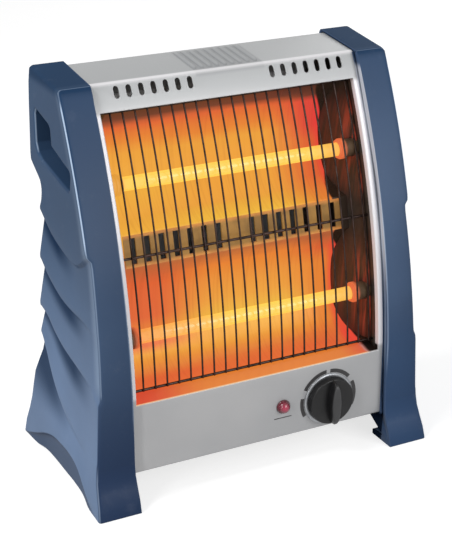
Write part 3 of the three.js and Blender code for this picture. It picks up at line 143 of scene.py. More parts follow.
class Graph:
    """Node tree of a material or of the surroundings."""

    def __init__(self, owner: Union[Material, bpy.types.World]) -> None:
        """Empties the owner's node tree.

        Args:
            owner: material or surroundings.
        """
        owner.use_nodes = True
        self.owner = owner
        self.tree = owner.node_tree
        self.tree.nodes.clear()

    @classmethod
    def named(cls, name: str) -> "Graph":
        """Graph of a new material."""
        return cls(bpy.data.materials.new(name))

    def node(self, kind: str, settings: Optional[dict] = None, inputs: Optional[dict] = None,
             output: Union[int, str] = 0) -> Link:
        """Adds a node.

        Args:
            kind: node type without its ShaderNode prefix.
            settings: properties, or stops as (place, colour) pairs of a ramp.
            inputs: a value, a six-digit colour or a link for each socket.
            output: socket that the result stands for.

        Returns:
            The chosen output.
        """
        made = self.tree.nodes.new("ShaderNode" + kind)
        for key, value in (settings or {}).items():
            if key == "stops":
                self._stops(made.color_ramp, value)
            else:
                setattr(made, key, value)
        for key, value in (inputs or {}).items():
            if isinstance(value, Link):
                self.tree.links.new(value.socket, made.inputs[key])
            else:
                made.inputs[key].default_value = linear(value) if isinstance(value, str) else value
        return Link(self, made.outputs[output])

    @staticmethod
    def _stops(ramp: bpy.types.ColorRamp, stops: Sequence[tuple[float, str]]) -> None:
        """Sets a ramp's colours.

        Args:
            ramp: colour ramp of a node.
            stops: place and colour of each stop.
        """
        while len(ramp.elements) < len(stops):
            ramp.elements.new(0.5)
        for element, (place, tint) in zip(ramp.elements, stops):
            element.position = place
            element.color = linear(tint)

    def parts(self, coordinate: str) -> list[Link]:
        """Three numbers of a texture coordinate."""
        vector = self.node("TexCoord", output=coordinate)
        return [self.node("SeparateXYZ", None, {0: vector}, axis) for axis in range(3)]

    def place(self) -> tuple[Link, Link, Link]:
        """Position on the piece: x, depth behind the front feet and height, in millimetres."""
        x, y, z = self.parts("Object")
        return x * 1000.0, y * 1000.0 + HALF_DEPTH, z * 1000.0

    def noise(self, scale: Union[float, Place], detail: float = 3.0, rough: float = 0.5) -> Link:
        """Noise on object coordinates.

        Args:
            scale: features per metre, or one number for each axis.
            detail: octaves.
            rough: share of the finer octaves.

        Returns:
            A value around 0.5.
        """
        vector = self.node("TexCoord", output="Object")
        if not isinstance(scale, (int, float)):
            vector = self.node("Mapping", None, {"Vector": vector, "Scale": tuple(scale)})
            scale = 1.0
        return self.node("TexNoise", None, {"Vector": vector, "Scale": scale, "Detail": detail,
                                            "Roughness": rough})

    def blend(self, color: Tint, *coats: tuple[Value, Tint]) -> Link:
        """Lays colours over each other.

        Args:
            color: the lowest colour.
            *coats: share and colour of each one above it.

        Returns:
            The mixed colour.
        """
        for share, tint in coats:
            color = self.node("Mix", {"data_type": "RGBA"}, {0: share, 6: color, 7: tint}, 2)
        return color

    def bump(self, height: Link, depth: float) -> Link:
        """Bump from a height of 0 to 1 over a depth in millimetres."""
        return self.node("Bump", None, {"Strength": 1.0, "Distance": depth * MM, "Height": height})

    def finish(self, **sockets: Union[Link, float, str]) -> Material:
        """Surface shader, its sockets named with underscores for spaces, and its material."""
        inputs = {key.replace("_", " "): value for key, value in sockets.items()}
        return self.close(self.node("BsdfPrincipled", None, inputs))

    def close(self, shader: Link) -> Union[Material, bpy.types.World]:
        """Joins a shader to the output and returns the owner.

        Args:
            shader: shader to show.

        Returns:
            The owner.
        """
        kind = "World" if isinstance(self.owner, bpy.types.World) else "Material"
        made = self.tree.nodes.new("ShaderNodeOutput" + kind)
        self.tree.links.new(shader.socket, made.inputs[0])
        return self.owner


# --------------------------------------------------------------------- finishes
@dataclass(frozen=True)
class MouldedPlastic:
    """Moulded plastic with a fine spark-eroded grain."""

    name: str
    tint: str
    shade: str
    roughness: float = 0.36
    grain: float = 0.03
    speck: float = 2600.0

    def material(self) -> Material:
        """Builds the material.

        Returns:
            The material.
        """
        g = Graph.named(self.name)
        cloud, fine = g.noise(14, 4), g.noise(self.speck, 2, 0.6)
        rub = g.noise(90, 5, 0.65).rise(0.56, 0.8)
        color = g.blend(self.tint, (cloud.rise(0.3, 0.7) * 0.6 + rub * 0.2, self.shade))
        rough = self.roughness + cloud.sway(0.1) + fine.sway(0.16) + rub * 0.06
        return g.finish(Base_Color=color, Roughness=rough, Normal=g.bump(fine, self.grain))


@dataclass(frozen=True)
class PanelPlastic:
    """Slate-blue moulding with a fine grain, with a painted highlight along its front edge and painted light,
    shade and shadows on its faces.

    The mesh's own coordinates tell its faces apart: 0 to 1 from the inner lip
    round the front and the side to the back, and 0 to 1 from the sole to the top.
    """

    name: str = "slate_blue_plastic"
    # the front, side and top tones are painted light and shade: each face lighter or darker by height as
    # light falls, the side with a painted sheen low down
    front: tuple = ("213350", "3b4e69", "1b3858")
    side: tuple = ("6c82a2", "304865")
    # painted low sun and a painted lighter toe on the right panel's front
    painted_sunlight: str = "566b8a"
    toe: str = "3f6088"
    top: str = "22364f"
    # painted highlight along the front edge, the inner lip and the hand hold's rear rim
    painted_highlight: str = "a5b8d0"
    # the inner lip's painted shade and painted light; the lighter tone also tints random rubs
    lip: tuple = ("3a4c68", "b4b8c1")
    # painted shade inside the foot
    hollow: str = "131d2e"
    # painted shade in the hand hold
    room: str = "2b3e57"
    # painted shadows in the folds and painted shade, also used for a random mottle
    shade_and_mottle: str = "14233b"
    edge_at: float = 0.148
    edge_width: float = 0.019
    side_from: float = 0.185
    side_share: float = 0.7
    swoops: tuple = ((4, 5, 0.4, 0.8, 0.05), (6, 7, 0.1, 0.5, 0.055), (8, 9, 0.15, 0.55, 0.055),
                     (10, 11, 0.35, 0.75, 0.055))

    def _shadows(self, across: Link, along: Link) -> Link:
        """Share of the painted shadow in the fold under each swoop.

        Args:
            across: share of the way round the panel.
            along: share of the way up.

        Returns:
            The share.
        """
        shares = []
        for low, high, start, stop, reach in self.swoops:
            v0, v1 = SidePanel.row_share(low), SidePanel.row_share(high)
            band = along.rise(v0 - reach, v0 - reach * 0.3) * along.fall(v1 - 0.006, v1 + 0.004)
            shares.append(band * across.rise(*(self.side_from + self.side_share * s
                                               for s in (start, stop))))
        return reduce(Link.most, shares)

    def _front(self, g: Graph, x: Link, z: Link, across: Link) -> Link:
        """Colour of the front face in painted light and shade: graded by height, with the painted low sun and
        a painted lighter toe on the right panel, and painted shade on the side away from the light.

        Args:
            g: graph of the material.
            x: place across the heater.
            z: height.
            across: share of the way round the panel.

        Returns:
            The colour.
        """
        right = x.rise(-1, 1)
        sun = x.rise(100, 120) * z.rise(90, 160) * z.rise(250, 320, 1.0, 0.4)
        far = across.fall(0.03, 0.11) * (1.0 - right) + across.rise(0.05, 0.12) * right
        low, middle, high = self.front
        return g.blend(low, (z.rise(25, 150), middle), (z.rise(190, 300), high), (sun * 0.3, self.painted_sunlight),
                       (right * z.fall(70, 130) * 0.3, self.toe),
                       (far * z.fall(220, 300) * 0.25, self.shade_and_mottle))

    def material(self) -> Material:
        """Builds the material.

        Returns:
            The material.
        """
        g = Graph.named(self.name)
        x, y, z = g.place()
        across, along, _ = g.parts("UV")
        width, setback = x.size(), SIDE.setback_link(g)
        cloud, fine = g.noise(12, 4), g.noise(2600, 2, 0.6)
        rub = g.noise(70, 5, 0.65).rise(0.55, 0.8)
        # lighter low on the side, a painted sheen
        side = g.blend(self.side[0], (z.rise(45, 240), self.side[1]))
        # soft: a painted sheen on the side just behind the front edge
        soft = across.rise(0.155, 0.18) * across.fall(0.185, 0.26) * z.rise(96, 112)
        # top: painted shade on the top faces; shadows: painted shadows in the folds
        top, shadows, sole = z.rise(316, 324.5), self._shadows(across, along), SidePanel.row_share(2)
        # painted shadow under the rim, above the sole
        under = along.fall(sole - 0.02, sole) * across.rise(0.19, 0.3)
        # painted highlight along the front edge, stronger at some heights than others
        run = z.rise(205, 222) * 0.75 + z.rise(98, 104) * 0.3 + z.fall(30, 46) * 0.3
        edge = across.near(self.edge_at, self.edge_width * 0.3, self.edge_width) * setback.fall(3, 4)
        edge = edge * run * z.rise(308, 318, 1.0, 0.2) * (0.75 + cloud * 0.5)
        # the inner lip is painted lit in its upper part and shaded below
        pale = z.rise(120, 190) * z.fall(310, 316) * setback.fall(8, 12)
        # painted highlight along the inner lip's front edge
        line = across.near(0.022, 0.008, 0.02) * z.rise(60, 90) * z.fall(180, 240)
        # painted shade inside the foot
        dark = width.fall(114.9, 116) * z.fall(25, 28) * setback.rise(1, 2)
        # painted shade in the hand hold, and a painted highlight on its rear rim
        hold = setback.rise(4.5, 6) * y.fall(130, 134) * z.rise(246, 249) * z.fall(300, 304)
        pocket = width.rise(118.4, 119.4) * width.fall(138.8, 140.4) * hold
        rim = width.near(139.9, 0.2, 0.9) * hold * y.rise(122, 125)
        color = g.blend(
            self._front(g, x, z, across), (across.rise(0.15, 0.19), side),
            (soft * z.rise(200, 260, 1.0, 0.4) * 0.28, self.painted_highlight), (top * 0.72, self.top),
            (cloud.rise(0.3, 0.7) * 0.16, self.shade_and_mottle), (rub * 0.03, self.lip[1]),
            (shadows * 0.72, self.shade_and_mottle), (under * 0.62, self.shade_and_mottle), (edge, self.painted_highlight),
            (width.fall(114.2, 114.8) * 0.9, g.blend(self.lip[0], (pale, self.lip[1]))),
            (line * 0.35, self.painted_highlight), (rim * 0.6, self.painted_highlight), (dark, self.hollow),
            (pocket * 0.85, self.room))
        gloss = (0.24 + cloud.sway(0.1)) * (1.0 - shadows) * (1.0 - dark.most(pocket))
        return g.finish(Base_Color=color, Roughness=0.33 + cloud.sway(0.1) + fine.sway(0.14) + rub * 0.05,
                        Specular_IOR_Level=0.0, Coat_Weight=gloss * (1.0 - top * 0.7),
                        Coat_Roughness=0.3, Normal=g.bump(fine, 0.025))


@dataclass(frozen=True)
class GripPlastic:
    """Black plastic with a painted sheen on the front face of its grip."""

    name: str = "grip_plastic"
    tint: str = "101011"
    shade: str = "19191a"
    painted_sheen: str = "3b3b3c"
    face: float = 2.6

    def material(self) -> Material:
        """Builds the material.

        Returns:
            The material.
        """
        g = Graph.named(self.name)
        _, y, _ = g.place()
        cloud, fine = g.noise(60, 4, 0.6), g.noise(3200, 2, 0.6)
        # the grip's front face is painted lighter, a painted sheen
        sheen_share = y.fall(self.face - 0.9, self.face + 0.6) * (0.7 + cloud * 0.6)
        color = g.blend(self.tint, (cloud.rise(0.3, 0.7), self.shade), (sheen_share, self.painted_sheen))
        return g.finish(Base_Color=color, Roughness=0.34 + fine.sway(0.16) + cloud.sway(0.1),
                        Specular_IOR_Level=0.25, Normal=g.bump(fine, 0.03))


@dataclass(frozen=True)
class CasingPaint:
    """Light grey baked paint, with a painted orange glow and a painted shadow on the window's sill, painted
    highlights on the crease, the hoods and the window's sides, and its louvre field painted darker.
    """

    name: str = "casing_paint"
    tint: str = "a9a9aa"
    shade: str = "9c9d9f"
    upper: str = "939596"
    # the louvre field is painted darker, and the hoods' tops lighter, a painted highlight
    dull: str = "727476"
    hood: str = "8f9193"
    # painted highlights along the crease and on the window's side returns
    crease_highlight: str = "e8e6e8"
    jamb_highlight: str = "dcdade"
    # painted glow of the elements on the sill, with a painted light line at its front edge and redder ends
    line: str = "ffd9a0"
    glow: str = "e87a12"
    deep: str = "e04420"
    sill: float = 26.0

    def material(self) -> Material:
        """Builds the material.

        Returns:
            The material.
        """
        g = Graph.named(self.name)
        x, y, z = g.place()
        cloud, peel = g.noise(9), g.noise(900, 2)
        scuff = g.noise((260, 40, 40), 5, 0.6).rise(0.6, 0.85)
        setback, raised = SIDE.setback_link(g), SIDE.above_link(g).rise(0.1, 0.9)
        ahead = setback.fall(self.sill, self.sill + 1.0)
        # louvre field painted darker, with a painted highlight on the hoods' tops
        louvred = x.near(3.5, 28.5, 31) * y.rise(78, 81) * y.fall(122, 125) * z.rise(318, 319)
        # painted highlight along the crease and on the window's side returns
        crease_highlight = y.near(SIDE.crease_y + SIDE.face_setback + 0.6, 0.5, 2.2) * z.rise(316.5, 319.5)
        jamb_highlight = x.size().rise(107.9, 108.4) * z.rise(88, 92) * z.fall(300, 304) * ahead
        color = g.blend(self.tint, (cloud.rise(0.35, 0.65) * 0.7, self.shade),
                        (z.rise(298, 312) * 0.8, self.upper),
                        (louvred * 0.6, g.blend(self.dull, (raised, self.hood))),
                        (crease_highlight * 0.65, self.crease_highlight), (jamb_highlight * 0.8, self.jamb_highlight))
        # painted glow on the sill and a painted shadow at its right end, the base dark under both
        floor = z.rise(83.9, 84.3) * ahead
        sill = floor * setback.rise(6.2, 6.9) * z.fall(90, 91) * x.fall(97, 103)
        shadow = floor * setback.rise(7, 7.8) * z.fall(89, 90) * x.rise(97, 103)
        lit = g.blend(self.glow, (x.fall(-100, -40) + x.rise(75, 100) * 0.8, self.deep),
                      (setback.fall(6.8, 8.2) * 0.8, self.line))
        dark = (sill * 0.9).most(shadow)
        return g.finish(Base_Color=g.blend(color, (dark, g.blend("3a2a22", (shadow, "100b09")))),
                        Roughness=0.33 + peel.sway(0.12) + scuff * 0.12, Metallic=0.15 * (1.0 - dark),
                        Specular_IOR_Level=0.35, Emission_Color=g.blend(BLACK, (sill, lit)),
                        Emission_Strength=0.82, Normal=g.bump(peel, 0.02))


@dataclass(frozen=True)
class HeatedSteel:
    """Dark steel with the red glow of the hot elements painted on where it faces them."""

    name: str
    tint: str
    shade: str
    glow: str = BLACK
    streak: float = 0.35

    def material(self) -> Material:
        """Builds the material.

        Returns:
            The material.
        """
        g = Graph.named(self.name)
        _, y, z = g.place()
        lines, smear = g.noise((30, 30, 400), 4, 0.6), g.noise((30, 220, 14), 3, 0.6)
        upper, lower = (((y - SIDE.tube(h)[0]) ** 2.0 + (z - h) ** 2.0).root().fall(8, 52)
                        for h in (SIDE.upper_tube, SIDE.lower_tube))
        # painted red glow of the elements, fading away from them and towards the back
        painted_glow = upper.most(lower * 1.4) * smear.rise(0.38, 0.7) * 1.4
        painted_glow = painted_glow * SIDE.setback_link(g).rise(22, 46, 1.0, 0.25)
        color = g.blend(self.tint, (g.noise(45, 4, 0.6).rise(0.35, 0.7), self.shade))
        return g.finish(Base_Color=color, Roughness=0.42 + lines.sway(self.streak), Metallic=0.4,
                        Emission_Color=g.blend(BLACK, (painted_glow, self.glow)), Emission_Strength=0.5,
                        Normal=g.bump(lines, 0.03))


class Glow(Enum):
    """Tints of the painted glow, from the brightest to the darkest."""

    YELLOW = "f2bc44"
    AMBER = "f0a440"
    ORANGE = "ea8638"
    EMBER = "e26638"
    SCARLET = "e24a3e"
    RUST = "b0603a"
    # the two darkest tints below are painted shade at the top of the sheet
    BROWN = "6e3c2e"
    TOP_SHADE = "38291f"


@dataclass(frozen=True)
class HotMirror:
    """Bright rolled sheet with the glow of the elements before it painted on, a painted reflection.

    Each list gives the glow's tint by height, in millimetres.
    """

    name: str = "glowing_reflector"
    low: float = 88.0
    high: float = 300.0
    middle: tuple = ((88, Glow.EMBER), (101, Glow.AMBER), (118, Glow.YELLOW), (132, Glow.AMBER),
                     (166, Glow.ORANGE), (178, Glow.RUST), (206, Glow.YELLOW), (214, Glow.AMBER),
                     (258, Glow.AMBER), (268, Glow.ORANGE), (283, Glow.EMBER), (289, Glow.BROWN),
                     (300, Glow.TOP_SHADE))
    left: tuple = ((88, Glow.EMBER), (101, Glow.AMBER), (108, Glow.EMBER), (117, Glow.ORANGE),
                   (130, Glow.EMBER), (160, Glow.EMBER), (178, Glow.RUST), (206, Glow.AMBER),
                   (228, Glow.YELLOW), (260, Glow.AMBER), (272, Glow.ORANGE), (281, Glow.EMBER),
                   (286, Glow.BROWN), (300, Glow.TOP_SHADE))
    right: tuple = ((88, Glow.EMBER), (100, Glow.ORANGE), (148, Glow.ORANGE), (162, Glow.EMBER),
                    (176, Glow.RUST), (206, Glow.ORANGE), (220, Glow.EMBER), (246, Glow.EMBER),
                    (258, Glow.SCARLET), (280, Glow.SCARLET), (286, Glow.BROWN), (300, Glow.TOP_SHADE))
    # base colour past a curve near each end, where the sheet is painted dark
    dark_patch: str = "34291f"

    def _ramp(self, graph: Graph, height: Link, stops: Sequence[tuple[float, Glow]]) -> Link:
        """Colour by height.

        Args:
            graph: graph of the material.
            height: height, in millimetres.
            stops: height and tint of each stop.

        Returns:
            The colour.
        """
        span = self.high - self.low
        placed = [((z - self.low) / span, glow.value) for z, glow in stops]
        return graph.node("ValToRGB", {"stops": placed}, {0: (height - self.low) / span})

    def material(self) -> Material:
        """Builds the material.

        Returns:
            The material.
        """
        g = Graph.named(self.name)
        x, _, z = g.place()
        ripple, streaks = g.noise((18, 18, 160), 3, 0.55), g.noise((520, 30, 9), 3, 0.6)
        height = z + ripple.sway(5.0)
        middle, left, right = (self._ramp(g, height, s) for s in (self.middle, self.left, self.right))
        # painted reflection of the glow, by height, redder towards the ends and streaked
        color = g.blend(middle, (x.fall(-70, -8) * z.rise(185, 200, 1.0, 0.45), left),
                        (x.rise(40, 90), right), (x.rise(88, 97) * z.fall(280, 286) * 0.7, "f03c3c"),
                        (streaks.rise(0.45, 0.75) * 0.14, "8a2c1c"))
        # past this curve near each end the sheet is painted dark, with no painted glow
        end = (103.0 - z.rise(150, 178) * 13.0 + z.rise(206, 226) * 7.0 - z.rise(266, 296) * 9.0
               + x.fall(-20, 0) * 9.0)
        dark = (x.size() - end + streaks.sway(1.5)).rise(-1.0, 1.2)
        return g.finish(Base_Color=g.blend("3a2c20", (dark, self.dark_patch)),
                        Roughness=0.24 + streaks.sway(0.16), Metallic=1.0 - dark * 0.6,
                        Emission_Color=g.blend(color, (dark, "140d0a")), Emission_Strength=0.94,
                        Normal=g.bump(streaks, 0.04))


@dataclass(frozen=True)
class TintedStrip:
    """Plain steel strip tinted by heat, darker towards its left end, with the glow of the elements painted on
    towards its edges.
    """

    name: str = "heat_tinted_strip"
    middle: float = 192.6

    def material(self) -> Material:
        """Builds the material.

        Returns:
            The material.
        """
        g = Graph.named(self.name)
        x, _, z = g.place()
        cloud, lines = g.noise(60, 4, 0.6), g.noise((900, 30, 30))
        color = g.blend("7d5c2c", (cloud.rise(0.35, 0.65), "5e4624"), (x.fall(-96, -30) * 0.4, "5e4830"))
        # painted glow of the elements, brighter towards the strip's edges
        painted_glow = g.blend("6b4a1c", ((z - self.middle).size().rise(8.5, 12.3), "d07a34"))
        return g.finish(Base_Color=color, Roughness=0.42 + lines.sway(0.2), Metallic=0.6,
                        Emission_Color=painted_glow, Emission_Strength=0.6, Normal=g.bump(lines, 0.03))


@dataclass(frozen=True)
class PlatedMetal:
    """Plated or drawn metal with fine draw marks."""

    name: str
    tint: str
    shade: str
    roughness: float = 0.3
    metallic: float = 1.0

    def material(self) -> Material:
        """Builds the material.

        Returns:
            The material.
        """
        g = Graph.named(self.name)
        cloud, marks = g.noise(120, 4, 0.6), g.noise(1800, 2)
        return g.finish(Base_Color=g.blend(self.tint, (cloud.rise(0.35, 0.7), self.shade)),
                        Roughness=self.roughness + marks.sway(0.16) + cloud.sway(0.1),
                        Metallic=self.metallic, Normal=g.bump(marks, 0.01))


@dataclass(frozen=True)
class GlowingQuartz:
    """Frosted quartz lit from within, cooler towards its ends."""

    name: str = "glowing_quartz"
    hot: str = "fbd04e"
    cool: str = "f4ac4e"
    dim: str = "f08a40"
    turn: float = 3.4

    def material(self) -> Material:
        """Builds the material.

        Returns:
            The material.
        """
        g = Graph.named(self.name)
        x, _, z = g.place()
        haze, lower = g.noise((60, 300, 300), 4, 0.6), z.fall(180, 200)
        bands = (x * (math.tau / self.turn)).wave() * 0.5 + 0.5
        cold = x.rise(64, 98) * 0.8 + x.fall(-99, -90) + lower * x.fall(-60, -5)
        color = g.blend(self.hot, (cold, self.cool), (lower * x.fall(-96, -60) * 0.6, self.dim),
                        (bands * 0.12 + haze.rise(0.4, 0.8) * 0.25, "f8ba48"))
        return g.finish(Base_Color="7c6648", Roughness=0.22 + haze.sway(0.15), Emission_Color=color,
                        Emission_Strength=0.9, Alpha=0.86 + haze.sway(0.15))


@dataclass(frozen=True)
class HotWire:
    """Resistance wire at working heat."""

    name: str = "hot_element_wire"

    def material(self) -> Material:
        """Builds the material.

        Returns:
            The material.
        """
        g = Graph.named(self.name)
        x, _, _ = g.place()
        color = g.blend("ffe070", (x.size().rise(82, 100), "ff7a30"),
                        (g.noise(240).rise(0.4, 0.8) * 0.3, "ffb648"))
        return g.finish(Base_Color="7a4a28", Roughness=0.5, Metallic=0.4, Emission_Color=color,
                        Emission_Strength=0.95)


@dataclass(frozen=True)
class Ceramic:
    """Unglazed ceramic, with the glow of the elements painted on where it faces them."""

    name: str
    tint: str = "d9cbb4"
    shade: str = "a88a66"
    glow: str = BLACK
    far_glow: str = BLACK

    def material(self) -> Material:
        """Builds the material.

        Returns:
            The material.
        """
        g = Graph.named(self.name)
        x, _, z = g.place()
        grain, dark_patch = g.noise(1500, 3, 0.6), g.noise(110, 4, 0.6).rise(0.45, 0.75)
        # painted glow of the elements on the faces towards them, and a yellower painted glow on the upper
        # left cap
        far = x.rise(-109, -106) * x.fall(-92, -90) * z.rise(180, 200)
        painted_glow = g.blend(BLACK, (x.size().fall(97, 103), self.glow), (far, self.far_glow))
        return g.finish(Base_Color=g.blend(self.tint, (dark_patch * 0.6, self.shade)),
                        Roughness=0.72 + grain.sway(0.2), Emission_Color=painted_glow,
                        Emission_Strength=0.8, Normal=g.bump(grain, 0.05))


@dataclass(frozen=True)
class RedLens:
    """Clear red plastic over a small lamp."""

    name: str = "red_lens"
    centre: tuple = (18.8, 54.6)

    def material(self) -> Material:
        """Builds the material.

        Returns:
            The material.
        """
        g = Graph.named(self.name)
        x, _, z = g.place()
        # painted light of the lamp behind: the lens colour is brighter at its middle
        off = ((x - self.centre[0]) ** 2.0 + (z - self.centre[1]) ** 2.0).root().rise(0, 6)
        color = g.blend("a01a40", (off, "480614"))
        return g.finish(Base_Color=color, Roughness=0.12 + g.noise(400, 2) * 0.08,
                        Emission_Color=color, Emission_Strength=0.04, Coat_Weight=0.35)


@dataclass(frozen=True)
class WovenSleeve:
    """Glass-fibre sleeve of a lead."""

    name: str = "woven_sleeve"
    weave: float = 5.2

    def material(self) -> Material:
        """Builds the material.

        Returns:
            The material.
        """
        g = Graph.named(self.name)
        x, y, z = g.place()
        weave = ((x + z) * self.weave).wave() * ((y - z + x * 0.5) * self.weave).wave() * 0.5 + 0.5
        color = g.blend("d4ccb8", (weave, "aaa08a"), (g.noise(80).rise(0.5, 0.8) * 0.4, "8f7f66"))
        return g.finish(Base_Color=color, Roughness=0.8, Normal=g.bump(weave, 0.08))


class Finish(Enum):
    """Finishes of the heater's pieces."""

    BLUE = PanelPlastic()
    CASING = CasingPaint()
    STEEL = HeatedSteel("plain_dark_steel", "3b3733", "4c4640")
    CHEEK = HeatedSteel("heated_cheek", "37302a", "453830", "b43a24")
    MIRROR = HotMirror()
    STRIP = TintedStrip()
    # the guard's wire is painted dark brown, painted shade, as it stands against the glow
    WIRE = PlatedMetal("guard_wire", "3c2f2b", "231a18", 0.38, 0.85)
    QUARTZ = GlowingQuartz()
    ELEMENT = HotWire()
    # the caps' dark tint is painted shade of the plain ceramic below, and their glow is painted
    CAP = Ceramic("hot_ceramic", "5c4630", "3c2e20", "ee6a38", "f2a83c")
    CERAMIC = Ceramic("plain_ceramic")
    BRASS = PlatedMetal("plain_brass", "b88f48", "8a6a34", 0.35)
    GRIP = GripPlastic()
    BLACK = MouldedPlastic("black_plastic", "1f1f20", "2b2b2c", 0.4, 0.03, 3200.0)
    SILVER = PlatedMetal("satin_silver", "97999c", "7f8185", 0.34, 0.85)
    LENS = RedLens()
    RUBBER = MouldedPlastic("black_rubber", "161616", "222222", 0.78, 0.06, 1400.0)
    ZINC = PlatedMetal("zinc_plate", "a9adb2", "8d9096", 0.34)
    SLEEVE = WovenSleeve()
    INK = MouldedPlastic("printed_ink", "1c1b1c", "262425", 0.55, 0.01, 4000.0)


class Paintbox:
    """Materials that are made once and shared."""

    def __init__(self) -> None:
        """Starts with no material."""
        self.made: dict[Finish, Material] = {}

    def get(self, finish: Finish) -> Material:
        """Material of a finish, made when it is first asked for.

        Args:
            finish: one of the finishes.

        Returns:
            The material.
        """
        if finish not in self.made:
            self.made[finish] = finish.value.material()
        return self.made[finish]

    def coat(self, piece: Object, finish: Finish) -> None:
        """Gives a piece one finish all over."""
        piece.data.materials.clear()
        piece.data.materials.append(self.get(finish))


# -------------------------------------------------------------------- the frame
def smooth(low: float, high: float, value: np.ndarray) -> np.ndarray:
    """Smooth step from 0 at low to 1 at high."""
    t = np.clip((value - low) / (high - low), 0.0, 1.0)
    return t * t * (3.0 - 2.0 * t)


@dataclass(frozen=True)
class SideView:
    """Side outline that every piece of the casing follows."""

    depth: float = 168.0
    crease_z: float = 324.0
    top_rise: float = 6.0
    top_setback: float = 1.6
    face_setback: float = 6.0
    face: float = 11.0
    arc_start: float = 90.0
    arc_radius: float = 570.0
    arc_lean: float = math.radians(3.0)
    toe: float = 36.0
    upper_tube: float = 245.8
    lower_tube: float = 129.4
    tube_setback: float = 29.0
    window_low: float = 88.0
    window_high: float = 303.0
    back: tuple = ((0, 0), (8, 0.4), (20, 6), (35, 12), (50, 14.5), (63, 15.5), (74, 21), (93, 31),
                   (107, 33.5), (130, 32), (165, 35.5), (206, 40), (214, 41), (225, 47.5),
                   (234, 49), (241, 46.5), (247, 36.5), (253, 26.5), (276, 28), (300, 29.5),
                   (316, 31), (330, 35))

    def front_y(self, z: Union[float, np.ndarray]) -> np.ndarray:
        """Depth of the panels' front edge at a height.

        Args:
            z: one height or several.

        Returns:
            The depths.
        """
        low = np.minimum(np.asarray(z, float), self.crease_z)
        lean = math.sin(self.arc_lean) + (low - self.arc_start) / self.arc_radius
        arc = self.face + self.arc_radius * (math.cos(self.arc_lean) - np.sqrt(1.0 - lean ** 2))
        return np.where(low >= self.arc_start, arc, self.face * smooth(0.0, self.toe, low))

    def back_y(self, z: Union[float, np.ndarray]) -> np.ndarray:
        """Depth of the panels' back edge at a height, its steps eased a little.

        Args:
            z: one height or several.

        Returns:
            The depths.
        """
        heights, insets = np.array(self.back, float).T
        z = np.asarray(z, float)
        return sum(np.interp(z + d, heights, self.depth - insets)
                   for d in (-1.6, -0.8, 0.0, 0.8, 1.6)) / 5.0

    @property
    def crease_y(self) -> float:
        """Depth where the front turns into the top."""
        return float(self.front_y(self.crease_z))

    @property
    def top_back(self) -> float:
        """Depth where the top ends."""
        return self.depth - self.back[-1][1]

    @property
    def slope(self) -> float:
        """Rise of the top over its depth."""
        return self.top_rise / (self.top_back - self.crease_y)

    def top_z(self, y: Union[float, np.ndarray]) -> np.ndarray:
        """Height of the panels' top at a depth."""
        return self.crease_z + self.slope * (np.asarray(y, float) - self.crease_y)

    def plate_z(self, y: Union[float, np.ndarray]) -> np.ndarray:
        """Height of the casing's top plate at a depth."""
        return self.top_z(y) - self.top_setback

    def bezel_y(self, z: Union[float, np.ndarray]) -> np.ndarray:
        """Depth of the casing's front at a height."""
        return self.front_y(np.maximum(z, self.toe)) + self.face_setback

    def tube(self, height: float) -> tuple[float, float]:
        """Depth and height of a heating element's axis."""
        return float(self.front_y(height)) + self.tube_setback, height

    def above_link(self, graph: Graph) -> Link:
        """Height above the casing's top plate, as shader nodes."""
        _, y, z = graph.place()
        return z - (y - self.crease_y) * self.slope - (self.crease_z - self.top_setback)

    def setback_link(self, graph: Graph) -> Link:
        """Distance behind the panels' front edge, as shader nodes.

        Args:
            graph: graph of a material.

        Returns:
            The distance, in millimetres.
        """
        _, y, z = graph.place()
        lean = (z - self.arc_start) / self.arc_radius + math.sin(self.arc_lean)
        arc = self.arc_radius * (math.cos(self.arc_lean) - (1.0 - lean * lean).root())
        return y - self.face - arc


SIDE = SideView()


# -------------------------------------------------------------------- modelling
def world(points: Sequence) -> np.ndarray:
    """Millimetres behind the front feet to the frame's metres."""
    return (np.asarray(points, float) - (0.0, HALF_DEPTH, 0.0)) * MM


def deselect() -> None:
    """Leaves edit mode with nothing selected."""
    if bpy.context.mode != "OBJECT":
        bpy.ops.object.mode_set(mode="OBJECT")
    bpy.ops.object.select_all(action="DESELECT")


def use(*pieces: Object) -> None:
    """Selects these pieces only and makes the first one active.

    Args:
        *pieces: mesh objects.
    """
    deselect()
    for piece in pieces:
        piece.select_set(True)
    bpy.context.view_layer.objects.active = pieces[0]


@contextmanager
def editing(piece: Object) -> Iterator[None]:
    """Edit mode on one piece, with all of it selected.

    Args:
        piece: mesh object.

    Yields:
        Nothing.
    """
    use(piece)
    bpy.ops.object.mode_set(mode="EDIT")
    bpy.ops.mesh.select_all(action="SELECT")
    yield
    bpy.ops.object.mode_set(mode="OBJECT")


def settle(piece: Object) -> Object:
    """Applies a piece's place, turn and scale to its mesh.

    Args:
        piece: mesh object.

    Returns:
        The piece.
    """
    use(piece)
    bpy.ops.object.transform_apply(location=True, rotation=True, scale=True)
    return piece


def modify(piece: Object, kind: str, **settings: object) -> Object:
    """Adds a modifier and applies it.

    Args:
        piece: mesh object.
        kind: modifier type.
        **settings: its properties.

    Returns:
        The piece.
    """
    modifier = piece.modifiers.new(kind.title(), kind)
    for key, value in settings.items():
        setattr(modifier, key, value)
    use(piece)
    bpy.ops.object.modifier_apply(modifier=modifier.name)
    return piece


def combine(piece: Object, tool: Object, operation: str = "UNION") -> Object:
    """Joins a solid to a piece, or cuts with it, and removes the tool.

    Args:
        piece: mesh object.
        tool: closed solid.
        operation: kind of boolean.

    Returns:
        The piece.
    """
    modify(piece, "BOOLEAN", operation=operation, object=tool, solver="EXACT")
    bpy.data.objects.remove(tool)
    return piece


